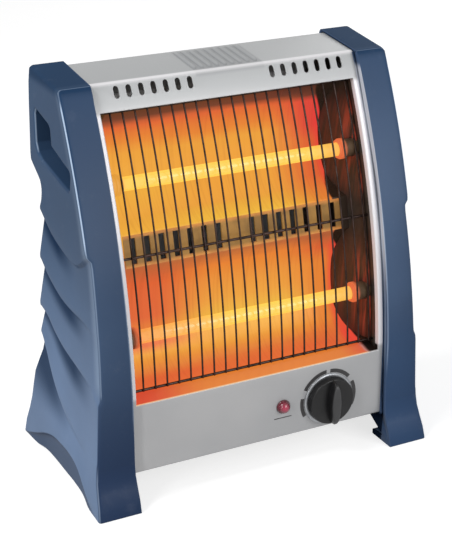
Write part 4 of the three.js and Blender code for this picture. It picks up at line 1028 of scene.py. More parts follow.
def cut(piece: Object, *tools: Object) -> Object:
    """Cuts a piece with several solids.

    Args:
        piece: mesh object.
        *tools: closed solids.

    Returns:
        The piece.
    """
    for tool in tools:
        combine(piece, tool, "DIFFERENCE")
    return piece


def merge(*pieces: Object) -> Object:
    """Joins pieces into the first one.

    Args:
        *pieces: mesh objects.

    Returns:
        The first piece.
    """
    use(*pieces)
    if len(pieces) > 1:
        bpy.ops.object.join()
    return bpy.context.view_layer.objects.active


def outward(piece: Object) -> Object:
    """Merges doubles and turns the faces of a closed piece outwards.

    Args:
        piece: mesh object.

    Returns:
        The piece.
    """
    with editing(piece):
        bpy.ops.mesh.remove_doubles(threshold=2e-7)
        bpy.ops.mesh.normals_make_consistent(inside=False)
    return piece


def patch(name: str, points: Sequence) -> Object:
    """Grid whose points are moved onto a surface.

    Args:
        name: name of the piece.
        points: rows and columns of places, in millimetres.

    Returns:
        The open or closed surface, with its doubles merged.
    """
    places = world(points).astype(np.float32)
    rows, cols = places.shape[:2]
    deselect()
    bpy.ops.mesh.primitive_grid_add(x_subdivisions=cols - 1, y_subdivisions=rows - 1, size=2.0)
    piece = bpy.context.object
    piece.name = piece.data.name = name
    flat = np.empty(len(piece.data.vertices) * 3, np.float32)
    piece.data.vertices.foreach_get("co", flat)
    col, row = (np.rint((flat[axis::3] + 1.0) / 2.0 * (count - 1)).astype(int)
                for axis, count in ((0, cols), (1, rows)))
    piece.data.vertices.foreach_set("co", places[row, col].ravel())
    piece.data.update()
    with editing(piece):
        bpy.ops.mesh.remove_doubles(threshold=2e-7)
    return piece


def solid(name: str, points: Sequence) -> Object:
    """Grid moved onto a surface, its open borders filled and its faces turned outwards.

    Args:
        name: name of the piece.
        points: rows and columns of places, in millimetres.

    Returns:
        The closed solid.
    """
    piece = patch(name, points)
    with editing(piece):
        bpy.ops.mesh.select_mode(type="EDGE")
        bpy.ops.mesh.select_all(action="DESELECT")
        bpy.ops.mesh.select_non_manifold(extend=False, use_wire=False, use_multi_face=False,
                                         use_non_contiguous=False, use_verts=False)
        bpy.ops.mesh.edge_face_add()
    return outward(piece)


def column(name: str, *sections: tuple[float, Sequence]) -> Object:
    """Closed solid through outlines of one count, each given as x and its (y, z) places."""
    return solid(name, [[(x, *place) for place in (*outline, outline[0])] for x, outline in sections])


def block(name: str, low: Place, high: Place) -> Object:
    """Box between two corners, in millimetres.

    Args:
        name: name of the piece.
        low: its lowest corner.
        high: its highest corner.

    Returns:
        The box.
    """
    low_m, high_m = world(low), world(high)
    deselect()
    bpy.ops.mesh.primitive_cube_add(size=1.0, location=(low_m + high_m) / 2.0,
                                    scale=np.abs(high_m - low_m))
    bpy.context.object.name = name
    return settle(bpy.context.object)


def rod(name: str, start: Place, end: Place, radius: float, sides: int = 24) -> Object:
    """Round bar between two places, in millimetres.

    Args:
        name: name of the piece.
        start: middle of one end.
        end: middle of the other.
        radius: its radius.
        sides: faces round it.

    Returns:
        The bar.
    """
    a, b = Vector(world(start)), Vector(world(end))
    deselect()
    bpy.ops.mesh.primitive_cylinder_add(vertices=sides, radius=radius * MM, depth=(b - a).length,
                                        location=(a + b) / 2.0,
                                        rotation=(b - a).to_track_quat("Z", "Y").to_euler())
    bpy.context.object.name = name
    return settle(bpy.context.object)


class Axis(Enum):
    """Axis that a turned piece stands on, with the two directions across it."""

    X = ((1, 0, 0), (0, 1, 0), (0, 0, 1))
    Y = ((0, 1, 0), (0, 0, 1), (1, 0, 0))


def turned(name: str, axis: Axis, centre: Place, profile: Profile, sides: int = 48,
           closed: bool = False) -> Object:
    """Piece turned on an axis.

    Args:
        name: name of the piece.
        axis: axis of the turning.
        centre: a place on the axis, in millimetres.
        profile: radius and place along the axis of each step.
        sides: faces round the axis.
        closed: True for a ring, whose profile comes back to its start.

    Returns:
        The closed solid.
    """
    steps = [*profile, profile[0]] if closed else profile
    along, first, second = np.array(axis.value, float)
    turn = np.linspace(0.0, math.tau, sides + 1)
    turn[-1] = 0.0
    around = np.outer(np.cos(turn), first) + np.outer(np.sin(turn), second)
    rows = [np.asarray(centre, float) + along * d + r * around for r, d in steps]
    return outward(patch(name, rows)) if closed else solid(name, rows)


def eased(profile: Profile, radius: float, steps: int = 3, closed: bool = False) -> Profile:
    """Rounds the corners of a profile.

    Args:
        profile: corner points.
        radius: radius of the corners.
        steps: segments of each corner.
        closed: True where the profile is a closed outline.

    Returns:
        The points with arcs in place of the corners.
    """
    points = [np.array(p, float) for p in profile]
    count = len(points)
    result: list[tuple[float, float]] = []
    for i, corner in enumerate(points):
        before, after = points[i - 1] - corner, points[(i + 1) % count] - corner
        la, lb = np.linalg.norm(before), np.linalg.norm(after)
        before, after = before / la, after / lb
        angle = math.acos(float(np.clip(before @ after, -1.0, 1.0)))
        if angle > math.pi - 0.06 or not closed and i in (0, count - 1):
            result.append(tuple(corner))
            continue
        reach = min(radius / math.tan(angle / 2.0), 0.45 * la, 0.45 * lb)
        bend = reach * math.tan(angle / 2.0)
        centre = corner + (before + after) / np.linalg.norm(before + after) * bend / math.sin(angle / 2.0)
        start, stop = corner + before * reach - centre, corner + after * reach - centre
        for f in np.linspace(0.0, 1.0, steps + 1):
            mixed = start * (1.0 - f) + stop * f
            result.append(tuple(centre + mixed / np.linalg.norm(mixed) * bend))
    return result


def offset(outline: np.ndarray, distance: float) -> np.ndarray:
    """Outline moved outwards by a distance, for a clockwise (y, z) outline.

    Args:
        outline: places of the outline.
        distance: how far each side moves.

    Returns:
        The moved places.
    """
    before = outline - np.roll(outline, 1, 0)
    after = np.roll(outline, -1, 0) - outline
    n0, n1 = (way[:, ::-1] * (1, -1) / np.linalg.norm(way, axis=1)[:, None] for way in (before, after))
    scale = distance / np.maximum(0.4, 1.0 + np.sum(n0 * n1, 1))
    return outline + (n0 + n1) * scale[:, None]


def curve(*ends: Place, steps: int = 33) -> list[tuple[float, float]]:
    """Points of a Bezier curve through its first and its last place.

    Args:
        *ends: control places.
        steps: count of points.

    Returns:
        The points.
    """
    points = np.array(ends, float)
    last = len(points) - 1
    return [tuple(sum(math.comb(last, i) * (1.0 - t) ** (last - i) * t ** i * p
                      for i, p in enumerate(points))) for t in np.linspace(0.0, 1.0, steps)]


def spread(count: int, pitch: float, middle: float = 0.0) -> list[float]:
    """Evenly spaced places round a middle."""
    return [middle + (i - (count - 1) / 2.0) * pitch for i in range(count)]


def mirrored(piece: Object, name: str) -> Object:
    """Copy of a piece for the other side of the heater.

    Args:
        piece: mesh object.
        name: name of the copy.

    Returns:
        The copy.
    """
    use(piece)
    bpy.ops.object.duplicate()
    twin = bpy.context.object
    twin.name = twin.data.name = name
    twin.scale.x = -1.0
    return outward(settle(twin))


@dataclass
class Assembly:
    """Sub-assembly that models, dresses and mounts its own pieces."""

    paints: Paintbox

    def mount(self, piece: Object, finish: Finish, slot: str, node: str = "", body: str = "root",
              angle: float = 32.0) -> Object:
        """Dresses a piece and fixes it to its body.

        Args:
            piece: finished mesh.
            finish: its finish.
            slot: name of a material slot; not used.
            node: solid that it stands for.
            body: body that it rides on.
            angle: sharpest edge, in degrees, that is shaded smooth.

        Returns:
            The piece.
        """
        use(piece)
        bpy.ops.object.shade_smooth_by_angle(angle=math.radians(angle))
        piece.data.name = piece.name
        self.paints.coat(piece, finish)
        if node:
            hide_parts(node)
        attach(piece, body)
        LOG.info("%s: %d faces on %s", piece.name, len(piece.data.polygons), body)
        return piece


# ------------------------------------------------------------------ side panels
def through(values: Sequence[float], t: float) -> float:
    """Smooth curve through values that are evenly spaced over 0 to 1.

    Args:
        values: values that the curve meets.
        t: place along it, from 0 to 1.

    Returns:
        The curve's value.
    """
    last = len(values) - 2
    i = min(int(t * (last + 1)), last)
    f = t * (last + 1) - i
    a, b, c, d = (values[min(max(k, 0), last + 1)] for k in range(i - 1, i + 3))
    m0, m1 = (c - a) / 2.0, (d - b) / 2.0
    return (b * (2 * f ** 3 - 3 * f ** 2 + 1) + m0 * (f ** 3 - 2 * f ** 2 + f)
            + c * (3 * f ** 2 - 2 * f ** 3) + m1 * (f ** 3 - f ** 2))


@dataclass
class SidePanel(Assembly):
    """Moulded side panel with swooping steps, feet and a hand hold.

    Each row gives the heights and the widths of a fold at nine places from the
    front to the back, and splits the steps from one row to the next.
    """

    inner: float = 114.0
    bulge: float = 27.0
    wall: float = 2.6
    tab: float = 2.5
    front_round: float = 2.4
    back_round: float = 1.5
    lip_round: float = 0.8
    top_round: float = 3.2
    crease_round: float = 6.0
    rear_round: float = 4.0
    floor_gap: float = 0.6
    sole: float = 4.2
    web_top: float = 24.5
    front_foot: float = 28.0
    rear_foot: float = 30.0
    pocket_floor: float = 122.0
    pocket_wall: float = 2.2
    ease: float = 1.5
    rows: tuple = (
        ((0, 0, 2.5, 3, 3, 3, 2.5, 0, 0), (35.5, 35, 32, 31, 31, 31, 31.6, 34, 35)),
        ((1, 5, 20, 24, 24, 22.5, 16.5, 7, 1), (35.8, 34.2, 30.8, 30.4, 30.4, 30.4, 31, 33.4, 35.4)),
        ((1.5, 7, 24, 28.5, 28.5, 27, 20.5, 10, 1.5), (36, 35.6, 34.6, 34, 34, 34.2, 34.8, 35.8, 36)),
        ((38, 38, 40, 41, 42, 45, 47, 49, 52), (32, 31.5, 31, 30.6, 30.4, 30.2, 30, 30, 30.6)),
        ((43, 42.5, 43.5, 47, 52, 62, 73.5, 86.5, 101), (31.6, 31, 30.2, 29, 27.6, 26.2, 25, 24.2, 24)),
        ((46, 46, 47, 51, 57, 67, 79, 92, 107), (31, 30.6, 30.4, 30.2, 30, 29.8, 29.4, 28.8, 28.6)),
        ((94, 98, 101.5, 104.5, 107, 110.5, 116, 124, 126.5),
         (28.6, 27, 25.6, 24.6, 23.8, 23.2, 22.8, 22.6, 22.8)),
        ((98.5, 101.5, 104.5, 107.5, 110, 113.5, 119, 127, 130.5),
         (26.6, 26.8, 27, 27.4, 27.6, 27.8, 27.8, 27.8, 27.8)),
        ((145, 146.5, 148, 148, 149, 151.5, 156, 161.5, 169.5),
         (25, 24.6, 24, 23.2, 22.6, 22.2, 22, 22, 22.2)),
        ((149, 149.5, 151, 151, 152, 154.5, 159, 164.5, 173),
         (25, 25.2, 25.6, 26, 26.6, 27, 27.2, 27.2, 27.4)),
        ((204, 197, 191.5, 190.5, 192.5, 195.5, 199.5, 206, 212.5),
         (23.4, 23.2, 23, 22.6, 22.4, 22.2, 22, 22, 22.2)),
        ((208, 200.5, 194.5, 193.5, 195.5, 198.5, 202.5, 209, 216),
         (27, 26.6, 26.4, 26.4, 26.6, 26.8, 27, 27.2, 27.6)),
        ((241,) * 9, (27,) * 9), ((253,) * 9, (27,) * 9))
    splits: tuple = (5, 5, 4, 4, 6, 12, 6, 12, 6, 12, 6, 8, 4, 14)
    pocket: tuple = ((109.5, 72.7), (105, 72.5), (54, 64.5), (45, 60.5), (41.5, 54), (41.5, 31), (44, 26.5),
                     (71, 32.5), (73.5, 35), (75, 48), (111, 57.5), (112, 61))
    pocket_rim: tuple = ((2.2, 0.0), (1.4, 0.15), (0.7, 0.55), (0.2, 1.2), (0.0, 2.0), (-0.4, 3.0))
    bosses: tuple = ((34.0, 46.0), (97.0, 46.0), (104.0, 220.0), (96.0, 307.0))
    core: tuple = ((0, 28.4), (30, 28), (44, 22.4), (93, 21), (131, 20), (172, 19.6), (206, 19.4),
                   (216, 22), (222, 24), (330, 24))

    @classmethod
    def row_share(cls, key: int) -> float:
        """Place of a row of the list in the mesh's own coordinates, 0 at the sole."""
        return (1 + sum(cls.splits[:key])) / (sum(cls.splits) + 8)

    def _profiles(self, u: float) -> tuple[np.ndarray, np.ndarray]:
        """Heights and widths of one column of the outer face.

        Args:
            u: share of the way from the front to the back.

        Returns:
            Heights and outer x, from the sole to the top.
        """
        top = SIDE.crease_z + SIDE.top_rise * u
        keys_z = [through(z, u) for z, _ in self.rows] + [top - self.top_round]
        keys_x = [through(x, u) for _, x in self.rows] + [self.bulge]
        z = np.concatenate([np.linspace(a, b, n, endpoint=False)
                            for a, b, n in zip(keys_z[:-1], keys_z[1:], self.splits)])
        x = sum(np.interp(z + d, keys_z, keys_x) for d in np.linspace(-self.ease, self.ease, 7)) / 7.0
        turn = np.linspace(math.pi / 2.0, 0.0, 7)
        z = np.concatenate([z, top - self.top_round * (1.0 - np.cos(turn))])
        x = np.concatenate([x, self.bulge - self.top_round * (1.0 - np.sin(turn))])
        return np.maximum(z, self.floor_gap), self.inner + x

    def _soften(self, points: np.ndarray) -> np.ndarray:
        """Rounds the two upper corners of the side outline.

        Args:
            points: grid of the outer skin.

        Returns:
            The grid with its corners rounded.
        """
        tangent = float(SIDE.front_y(SIDE.crease_z) - SIDE.front_y(SIDE.crease_z - 6.0)) / 6.0
        lean = float(SIDE.back_y(326.0) - SIDE.back_y(320.0)) / 6.0
        front, top, rear = (np.array(way) / math.hypot(*way)
                            for way in ((-1.0, tangent), (-SIDE.slope, 1.0), (1.0, -lean)))
        flat = points[..., 1:].copy()
        for corner, radius, normals in (
                ((SIDE.crease_y, SIDE.crease_z), self.crease_round, np.array([front, top])),
                ((SIDE.top_back, SIDE.crease_z + SIDE.top_rise), self.rear_round, np.array([top, rear]))):
            centre = np.array(corner) - np.linalg.solve(normals, np.array([radius, radius]))
            rel = flat - centre
            inside = np.all(rel @ np.linalg.inv(normals) > 0.0, axis=-1)
            reach = np.max(rel @ normals.T, axis=-1)
            length = np.maximum(np.linalg.norm(rel, axis=-1), 1e-9)
            moved = centre + rel * (reach / length)[..., None]
            flat = np.where(inside[..., None], moved, flat)
        return np.concatenate([points[..., :1], flat], -1)

    def _skin(self) -> Object:
        """Outer skin from the front lip round to the back, closed on the inner side.

        Each column is a share of the way back, a share of the outer width, what
        is added to that width and what is added to the depth.

        Returns:
            The closed skin.
        """
        quarter = np.linspace(0.0, math.pi / 2.0, 6)
        r, b, lip = self.front_round, self.back_round, self.lip_round
        start = self.inner + lip
        columns = [(0.0, 0.0, start - lip * math.sin(t), lip * (1.0 - math.cos(t))) for t in quarter[::-2]]
        columns += [(0.0, f, start - (r + start) * f, 0.0) for f in (0.05, 0.3, 0.6, 0.9)]
        columns += [(0.0, 1.0, r * math.sin(t) - r, r * (1.0 - math.cos(t))) for t in quarter]
        columns += [(v, 1.0, 0.0, r * (1.0 - v) - b * v) for v in np.linspace(0.0, 1.0, 47)[1:-1]]
        columns += [(1.0, 1.0, b * math.sin(t) - b, b * math.cos(t) - b) for t in quarter[::-1]]
        columns += [(1.0, 0.5, (self.inner - b) / 2.0, 0.0), (1.0, 0.0, self.inner, 0.0)]
        points = []
        for share, wide, x, y in columns:
            z, outer = self._profiles(share)
            depth = SIDE.front_y(z) * (1.0 - share) + SIDE.back_y(z) * share + y
            points.append(np.column_stack([outer * wide + x, depth, z]))
        grid = np.array(points).transpose(1, 0, 2)
        return solid("moulded_panel_right", self._soften(self._closed(grid, self.inner)))

    @staticmethod
    def _closed(grid: np.ndarray, x: float) -> np.ndarray:
        """Grid whose first and last rows are repeated at one place across.

        Args:
            grid: rows of places.
            x: place of the repeated rows across.

        Returns:
            The longer grid.
        """
        low, high = grid[:1].copy(), grid[-1:].copy()
        low[..., 0] = high[..., 0] = x
        return np.vstack([low, grid, high])

    def _hollow(self) -> Object:
        """Room inside the panel.

        Returns:
            The cutter.
        """
        low, high = self.floor_gap + self.sole, SIDE.crease_z - 12.0
        kinks = {low, high, *(z for z, _ in SIDE.back), *(z for z, _ in self.core)}
        shares = np.linspace(0.0, 1.0, 5)
        rim = self.wall + self.back_round
        rows = []
        for z in sorted(z for z in kinks if low <= z <= high):
            y0, y1 = float(SIDE.front_y(z)) + self.wall + CLEAR, float(SIDE.back_y(z)) - rim
            rows.append([(self.inner + np.interp(z, *zip(*self.core)), y0 + (y1 - y0) * s, z)
                         for s in shares])
        y0, y1 = SIDE.crease_y + self.wall + 1.5, SIDE.top_back - rim - 1.0
        rows.append([(self.inner + 23.0, y, float(SIDE.top_z(y)) - self.wall - 0.6)
                     for y in y0 + (y1 - y0) * shares])
        start = self.inner + self.tab
        wide = self._closed(np.array(rows).transpose(1, 0, 2), start).transpose(1, 0, 2)
        return solid("room", self._closed(wide, start))

    def _mouth(self) -> Object:
        """Opening in the inner face, inside the lip that presses on the casing.

        Returns:
            The cutter.
        """
        lip, rim = SIDE.face_setback - CLEAR, self.wall + self.back_round
        heights = np.linspace(self.web_top, SIDE.crease_z - 6.0, 15)
        outline = [(float(SIDE.front_y(z)) + lip, z) for z in heights]
        corner, top_back = SIDE.crease_y + lip, SIDE.top_back - rim
        outline += [(corner - 1.0, float(SIDE.top_z(corner)) - self.wall),
                    (top_back, float(SIDE.top_z(top_back)) - self.wall)]
        back = [z for z, _ in SIDE.back if self.web_top < z < SIDE.crease_z - 4.0][::-1]
        outline += [(float(SIDE.back_y(z)) - rim, z) for z in (*back, self.web_top)]
        outline = eased(outline, 1.5, 2, True)
        return column("mouth", (self.inner - 1.0, outline), (self.inner + self.tab + 0.1, outline))

    def _arch(self) -> Object:
        """Arch under the inner face, between the soles of the two feet.

        Returns:
            The cutter.
        """
        sole, top = self.floor_gap + self.sole, self.web_top + 1.0
        rear, toe = SIDE.depth - self.rear_foot, (12.0, sole + 1.0)
        heel = (SIDE.depth - toe[0], toe[1])
        outline = [(self.front_foot, -1.0), (rear, -1.0), (rear, sole),
                   *curve(heel, (SIDE.depth - 26.0, sole + 9.0), (SIDE.depth - 50.0, top), steps=9),
                   *curve((50.0, top), (26.0, sole + 9.0), toe, steps=9), (self.front_foot, sole)]
        return column("arch", (self.inner - 1.0, outline), (self.inner + self.tab + 0.2, outline))

    def _pocket(self) -> tuple[Object, Object]:
        """Shell of the hand hold and the room cut into it.

        Returns:
            The shell and the cutter.
        """
        corners = [(SIDE.depth - a, SIDE.crease_z - b) for a, b in self.pocket]
        outline = np.array(eased(corners, 2.4, 4, True))
        middle = np.mean(outline, 0)
        if np.sum(np.cross(outline - middle, np.roll(outline, -1, 0) - middle)) < 0:
            outline = outline[::-1].copy()
        face, floor = self.inner + self.bulge, self.pocket_floor
        around = offset(outline, self.pocket_wall)
        shell = column("pocket_shell", (floor - self.pocket_wall, around), (face - 1.5, around))
        steps = [(floor, -0.5), (floor + 0.5, 0.0), *((face - a, b) for a, b in self.pocket_rim)]
        return shell, column("pocket_room", *((x, offset(outline, d)) for x, d in steps))

    def build(self) -> list[Object]:
        """Models both panels.

        Returns:
            The right and the left panel.
        """
        panel = self._skin()
        floor = block("floor", (self.inner + self.tab, self.front_foot, -1.0),
                      (self.inner + 28.4, SIDE.depth - self.rear_foot, self.floor_gap + self.sole + 1.0))
        pads = [block("pad_room", (116.7, y0, -1.0), (142.8, y1, 2.3))
                for y0, y1 in ((5.7, 25.3), (140.7, 162.3))]
        cut(panel, self._hollow(), self._mouth(), floor, self._arch(), *pads)
        shell, room = self._pocket()
        combine(panel, shell)
        for y, z in self.bosses:
            reach = self.inner + float(np.interp(z, *zip(*self.core))) + 1.5
            combine(panel, rod("boss", (113.3, y, z), (reach, y, z), 4.5, 20))
        cut(panel, room, *(rod("pilot", (112.0, y, z), (125.3, y, z), 1.8, 12) for y, z in self.bosses))
        sides = {"right": outward(panel), "left": mirrored(panel, "moulded_panel_left")}
        return [self.mount(piece, Finish.BLUE, "blue_plastic", f"side_panel_{side}", angle=26.0)
                for side, piece in sides.items()]


# ------------------------------------------------------------------ sheet metal
@dataclass
class FrontCasing(Assembly):
    """Bent steel front and top with the window, the vents and the louvres."""

    reach: float = 117.0
    shoulder: float = 113.7
    window: float = 109.0
    sheet: float = 0.9
    bottom: float = 26.0
    rear: float = 128.0
    hem: float = 13.0
    sill: float = 18.0
    turn_in: float = 5.0
    lip_z: float = 85.2
    shift: float = 3.0
    vent_count: int = 7
    vent_pitch: float = 10.15
    vent_centre: float = 65.8
    vent_width: float = 4.4
    vent_span: tuple = (311.6, 320.4)
    louvre_count: int = 9
    louvre_pitch: float = 6.6
    louvre_width: float = 2.6
    louvre_margin: float = 5.5
    knob: tuple = (62.0, 51.6)
    lamp: tuple = (19.6, 54.0)
    arcs: tuple = ((-118.0, -79.0), (-62.0, -5.0), (3.0, 50.0), (64.0, 116.0))

    @property
    def crease(self) -> tuple[float, float]:
        """Depth and height where the face meets the top plate."""
        y = SIDE.crease_y + SIDE.face_setback
        return y, float(SIDE.plate_z(y))

    @property
    def face(self) -> float:
        """Depth of the lower band's front."""
        return float(SIDE.bezel_y(self.bottom))

    def _path(self) -> list[tuple[float, float]]:
        """Outer line of the bends, from the bottom hem to the rear one.

        Returns:
            Depth and height of each place.
        """
        heights = (30.0, 60.0, 80.0, self.lip_z, *np.linspace(88.5, SIDE.window_high, 34), 306.0, 312.0)
        rear = float(SIDE.plate_z(self.rear))
        line = [(self.face + self.hem, self.bottom), (self.face, self.bottom)]
        line += [(float(SIDE.bezel_y(z)), z) for z in heights]
        line += [self.crease, (self.rear, rear), (self.rear, rear - self.hem)]
        return [*eased(line[:3], 1.8, 5)[:-1], *line[2:-3], *eased(line[-4:-1], 4.0, 8)[1:-1],
                *eased(line[-3:], 1.8, 5)[1:]]

    @staticmethod
    def _slot(middle: float, low: float, high: float, half: float, steps: int,
              *ends: Callable[[float, float], Place]) -> Object:
        """Cutter of a round-ended slot.

        Args:
            middle: place of the slot across the heater.
            low: place where it starts.
            high: place where it stops.
            half: half its width.
            steps: points of each round end.
            *ends: places of the cutter's two faces for a place across and along.

        Returns:
            The closed solid.
        """
        turn = np.linspace(0.0, math.pi, steps)
        ring = [(middle - half * math.cos(t), low + half - half * math.sin(t)) for t in turn]
        ring += [(middle + half * math.cos(t), high - half + half * math.sin(t)) for t in turn]
        return solid("slot", [[end(*spot) for spot in (*ring, ring[0])] for end in ends])

    def _vents(self) -> list[Object]:
        """Cutters of the vents above the window.

        Returns:
            The cutters.
        """
        return [self._slot(x, *self.vent_span, self.vent_width / 2.0, 9,
                           lambda a, b: (a, 60.0, b), lambda a, b: (a, 96.0, b))
                for side in (-1, 1)
                for x in spread(self.vent_count, self.vent_pitch, self.shift + side * self.vent_centre)]

    def _louvres(self) -> tuple[list[Object], list[Object]]:
        """Cutters of the louvres and the low hoods that rise beside them.

        Returns:
            The cutters and the hoods.
        """
        span = self.crease[0] + self.louvre_margin, self.rear - self.louvre_margin
        places = spread(self.louvre_count, self.louvre_pitch, self.shift)
        tools = [self._slot(x, *span, self.louvre_width / 2.0, 7,
                            lambda a, b: (a, b, float(SIDE.plate_z(b)) - 4.0),
                            lambda a, b: (a, b, float(SIDE.plate_z(b)) + 3.0)) for x in places]
        return tools, [self._hood(x, *span) for x in places]

    def _hood(self, x: float, start: float, stop: float) -> Object:
        """Thin curved hood over one louvre, open along one side.

        Args:
            x: middle of the louvre.
            start: depth where it starts.
            stop: depth where it stops.

        Returns:
            The hood.
        """
        rows = []
        for f in np.linspace(0.0, 1.0, 17):
            y = start - 0.8 + (stop - start + 1.6) * f
            rise = 1.15 * math.sqrt(max(0.0, 1.0 - abs(2.0 * f - 1.0) ** 8))
            base = float(SIDE.plate_z(y)) - 0.1
            rows.append([(x - 2.3 + 2.8 * s, y, base + rise * math.sin(s * math.pi / 2.0))
                         for s in np.linspace(0.0, 1.0, 7)])
        return modify(patch("hood", rows), "SOLIDIFY", thickness=0.35 * MM, offset=0.0)

    def build(self) -> list[Object]:
        """Models the front casing.

        Returns:
            The casing and the print round the knob.
        """
        half = (self.window, self.shoulder, self.reach)
        xs = (*(-x for x in half[::-1]), *np.linspace(-90.0, 90.0, 11), *half)
        casing = patch("front_casing", [[(x, y, z) for x in xs] for y, z in self._path()])
        self._open_window(casing)
        modify(casing, "SOLIDIFY", thickness=self.sheet * MM, offset=-1.0, use_even_offset=True)
        outward(casing)
        low, high = self.crease[1] - 4.1, float(SIDE.plate_z(self.rear)) + 1.0
        shoulders = [block("shoulder", (a, 0.0, low), (b, SIDE.depth, high))
                     for a, b in ((self.shoulder, 118.0), (-118.0, -self.shoulder))]
        holes = [rod("hole", (x, 5.0, z), (x, self.face + 5.0, z), r, 40)
                 for (x, z), r in ((self.knob, 5.3), (self.lamp, 5.1))]
        slots, hoods = self._louvres()
        cut(casing, *(merge(*tools) for tools in (shoulders, holes, self._vents(), slots)))
        modify(casing, "BEVEL", width=0.12 * MM, segments=1, limit_method="ANGLE",
               angle_limit=math.radians(50.0))
        casing = merge(casing, *hoods)
        return [self.mount(casing, Finish.CASING, "grey_paint", "front_bezel", angle=24.0), self._print()]

    def _open_window(self, casing: Object) -> None:
        """Removes the window's faces and turns its edges in.

        Args:
            casing: bent sheet, still without thickness.
        """
        limit, near = (self.window + 0.01) * MM, 0.02 * MM
        low, high = self.lip_z * MM, SIDE.window_high * MM

        def choose(kind: str, test: Callable[[Sequence[Vector]], bool], rim: bool = True) -> None:
            """Selects the edges or faces whose corners pass a test.

            Args:
                kind: edges or faces.
                test: what their corners must pass.
                rim: True to keep to the open rim.
            """
            mesh = bmesh.from_edit_mesh(casing.data)
            for item in getattr(mesh, kind):
                item.select = not (rim and not item.is_boundary) and test([v.co for v in item.verts])
            mesh.select_flush_mode()
            bmesh.update_edit_mesh(casing.data)

        def middle(corners: Sequence[Vector]) -> Vector:
            """Mean of some places."""
            return sum(corners, Vector()) / len(corners)

        def drawn_in(corners: Sequence[Vector]) -> bool:
            """True for an edge of the window on the casing's own surface.

            Args:
                corners: ends of the edge, in metres.

            Returns:
                True for an edge to round.
            """
            a, b = (co / MM for co in corners)
            on_line = all(abs(v.y + HALF_DEPTH - float(SIDE.bezel_y(v.z))) < 0.02 for v in (a, b))
            upright = all(abs(abs(v.x) - self.window) < 0.01 for v in (a, b))
            level = any(abs(a.z - h) < 0.02 and abs(b.z - h) < 0.02
                        for h in (self.lip_z, SIDE.window_high))
            within = all(abs(v.x) < self.window + 0.01 and
                         self.lip_z - 0.02 < v.z < SIDE.window_high + 0.02 for v in (a, b))
            return on_line and within and (upright or level)

        with editing(casing):
            bpy.ops.mesh.normals_make_consistent(inside=False)
            mesh = bmesh.from_edit_mesh(casing.data)
            if min(mesh.faces, key=lambda f: f.calc_center_median().y).normal.y > 0.0:
                bpy.ops.mesh.flip_normals()
            bpy.ops.mesh.select_all(action="DESELECT")
            bpy.ops.mesh.select_mode(type="FACE")
            choose("faces", lambda c: abs(middle(c).x) < limit and low < middle(c).z < high, False)
            bpy.ops.mesh.delete(type="FACE")
            bpy.ops.mesh.select_mode(type="EDGE")
            choose("edges", lambda c: abs(middle(c).x) < limit and low - near < middle(c).z < high + near)
            bpy.ops.mesh.extrude_edges_move(TRANSFORM_OT_translate={"value": (0.0, self.turn_in * MM, 0.0)})
            choose("edges", lambda c: abs(middle(c).x) < limit - 0.05 * MM
                   and abs(middle(c).z - low) < near)
            deeper = Vector((0.0, self.sill - self.turn_in, SIDE.window_low - self.lip_z)) * MM
            bpy.ops.mesh.extrude_edges_move(TRANSFORM_OT_translate={"value": deeper})
            choose("edges", drawn_in, False)
            bpy.ops.mesh.bevel(offset=0.9 * MM, segments=4, affect="EDGES")

    def _print(self) -> Object:
        """Printed arcs round the selector, with gaps at its three positions.

        Returns:
            The dressed print.
        """
        x, z = self.knob
        front = self.face - 0.02
        shapes = [[[(x + r * math.sin(t), front, z + r * math.cos(t))
                    for t in np.radians(np.linspace(start, stop, 25))] for r in (23.1, 24.8, 26.4)]
                  for start, stop in self.arcs]
        shapes.append([[(self.lamp[0] + s, front, self.lamp[1] + h) for s in (-8.0, 0.0, 8.0)]
                       for h in (-10.6, -9.8)])
        marks = merge(*(outward(modify(patch("selector_print", rows), "SOLIDIFY", thickness=0.05 * MM,
                                       offset=0.0)) for rows in shapes))
        return self.mount(marks, Finish.INK, "black_plastic")


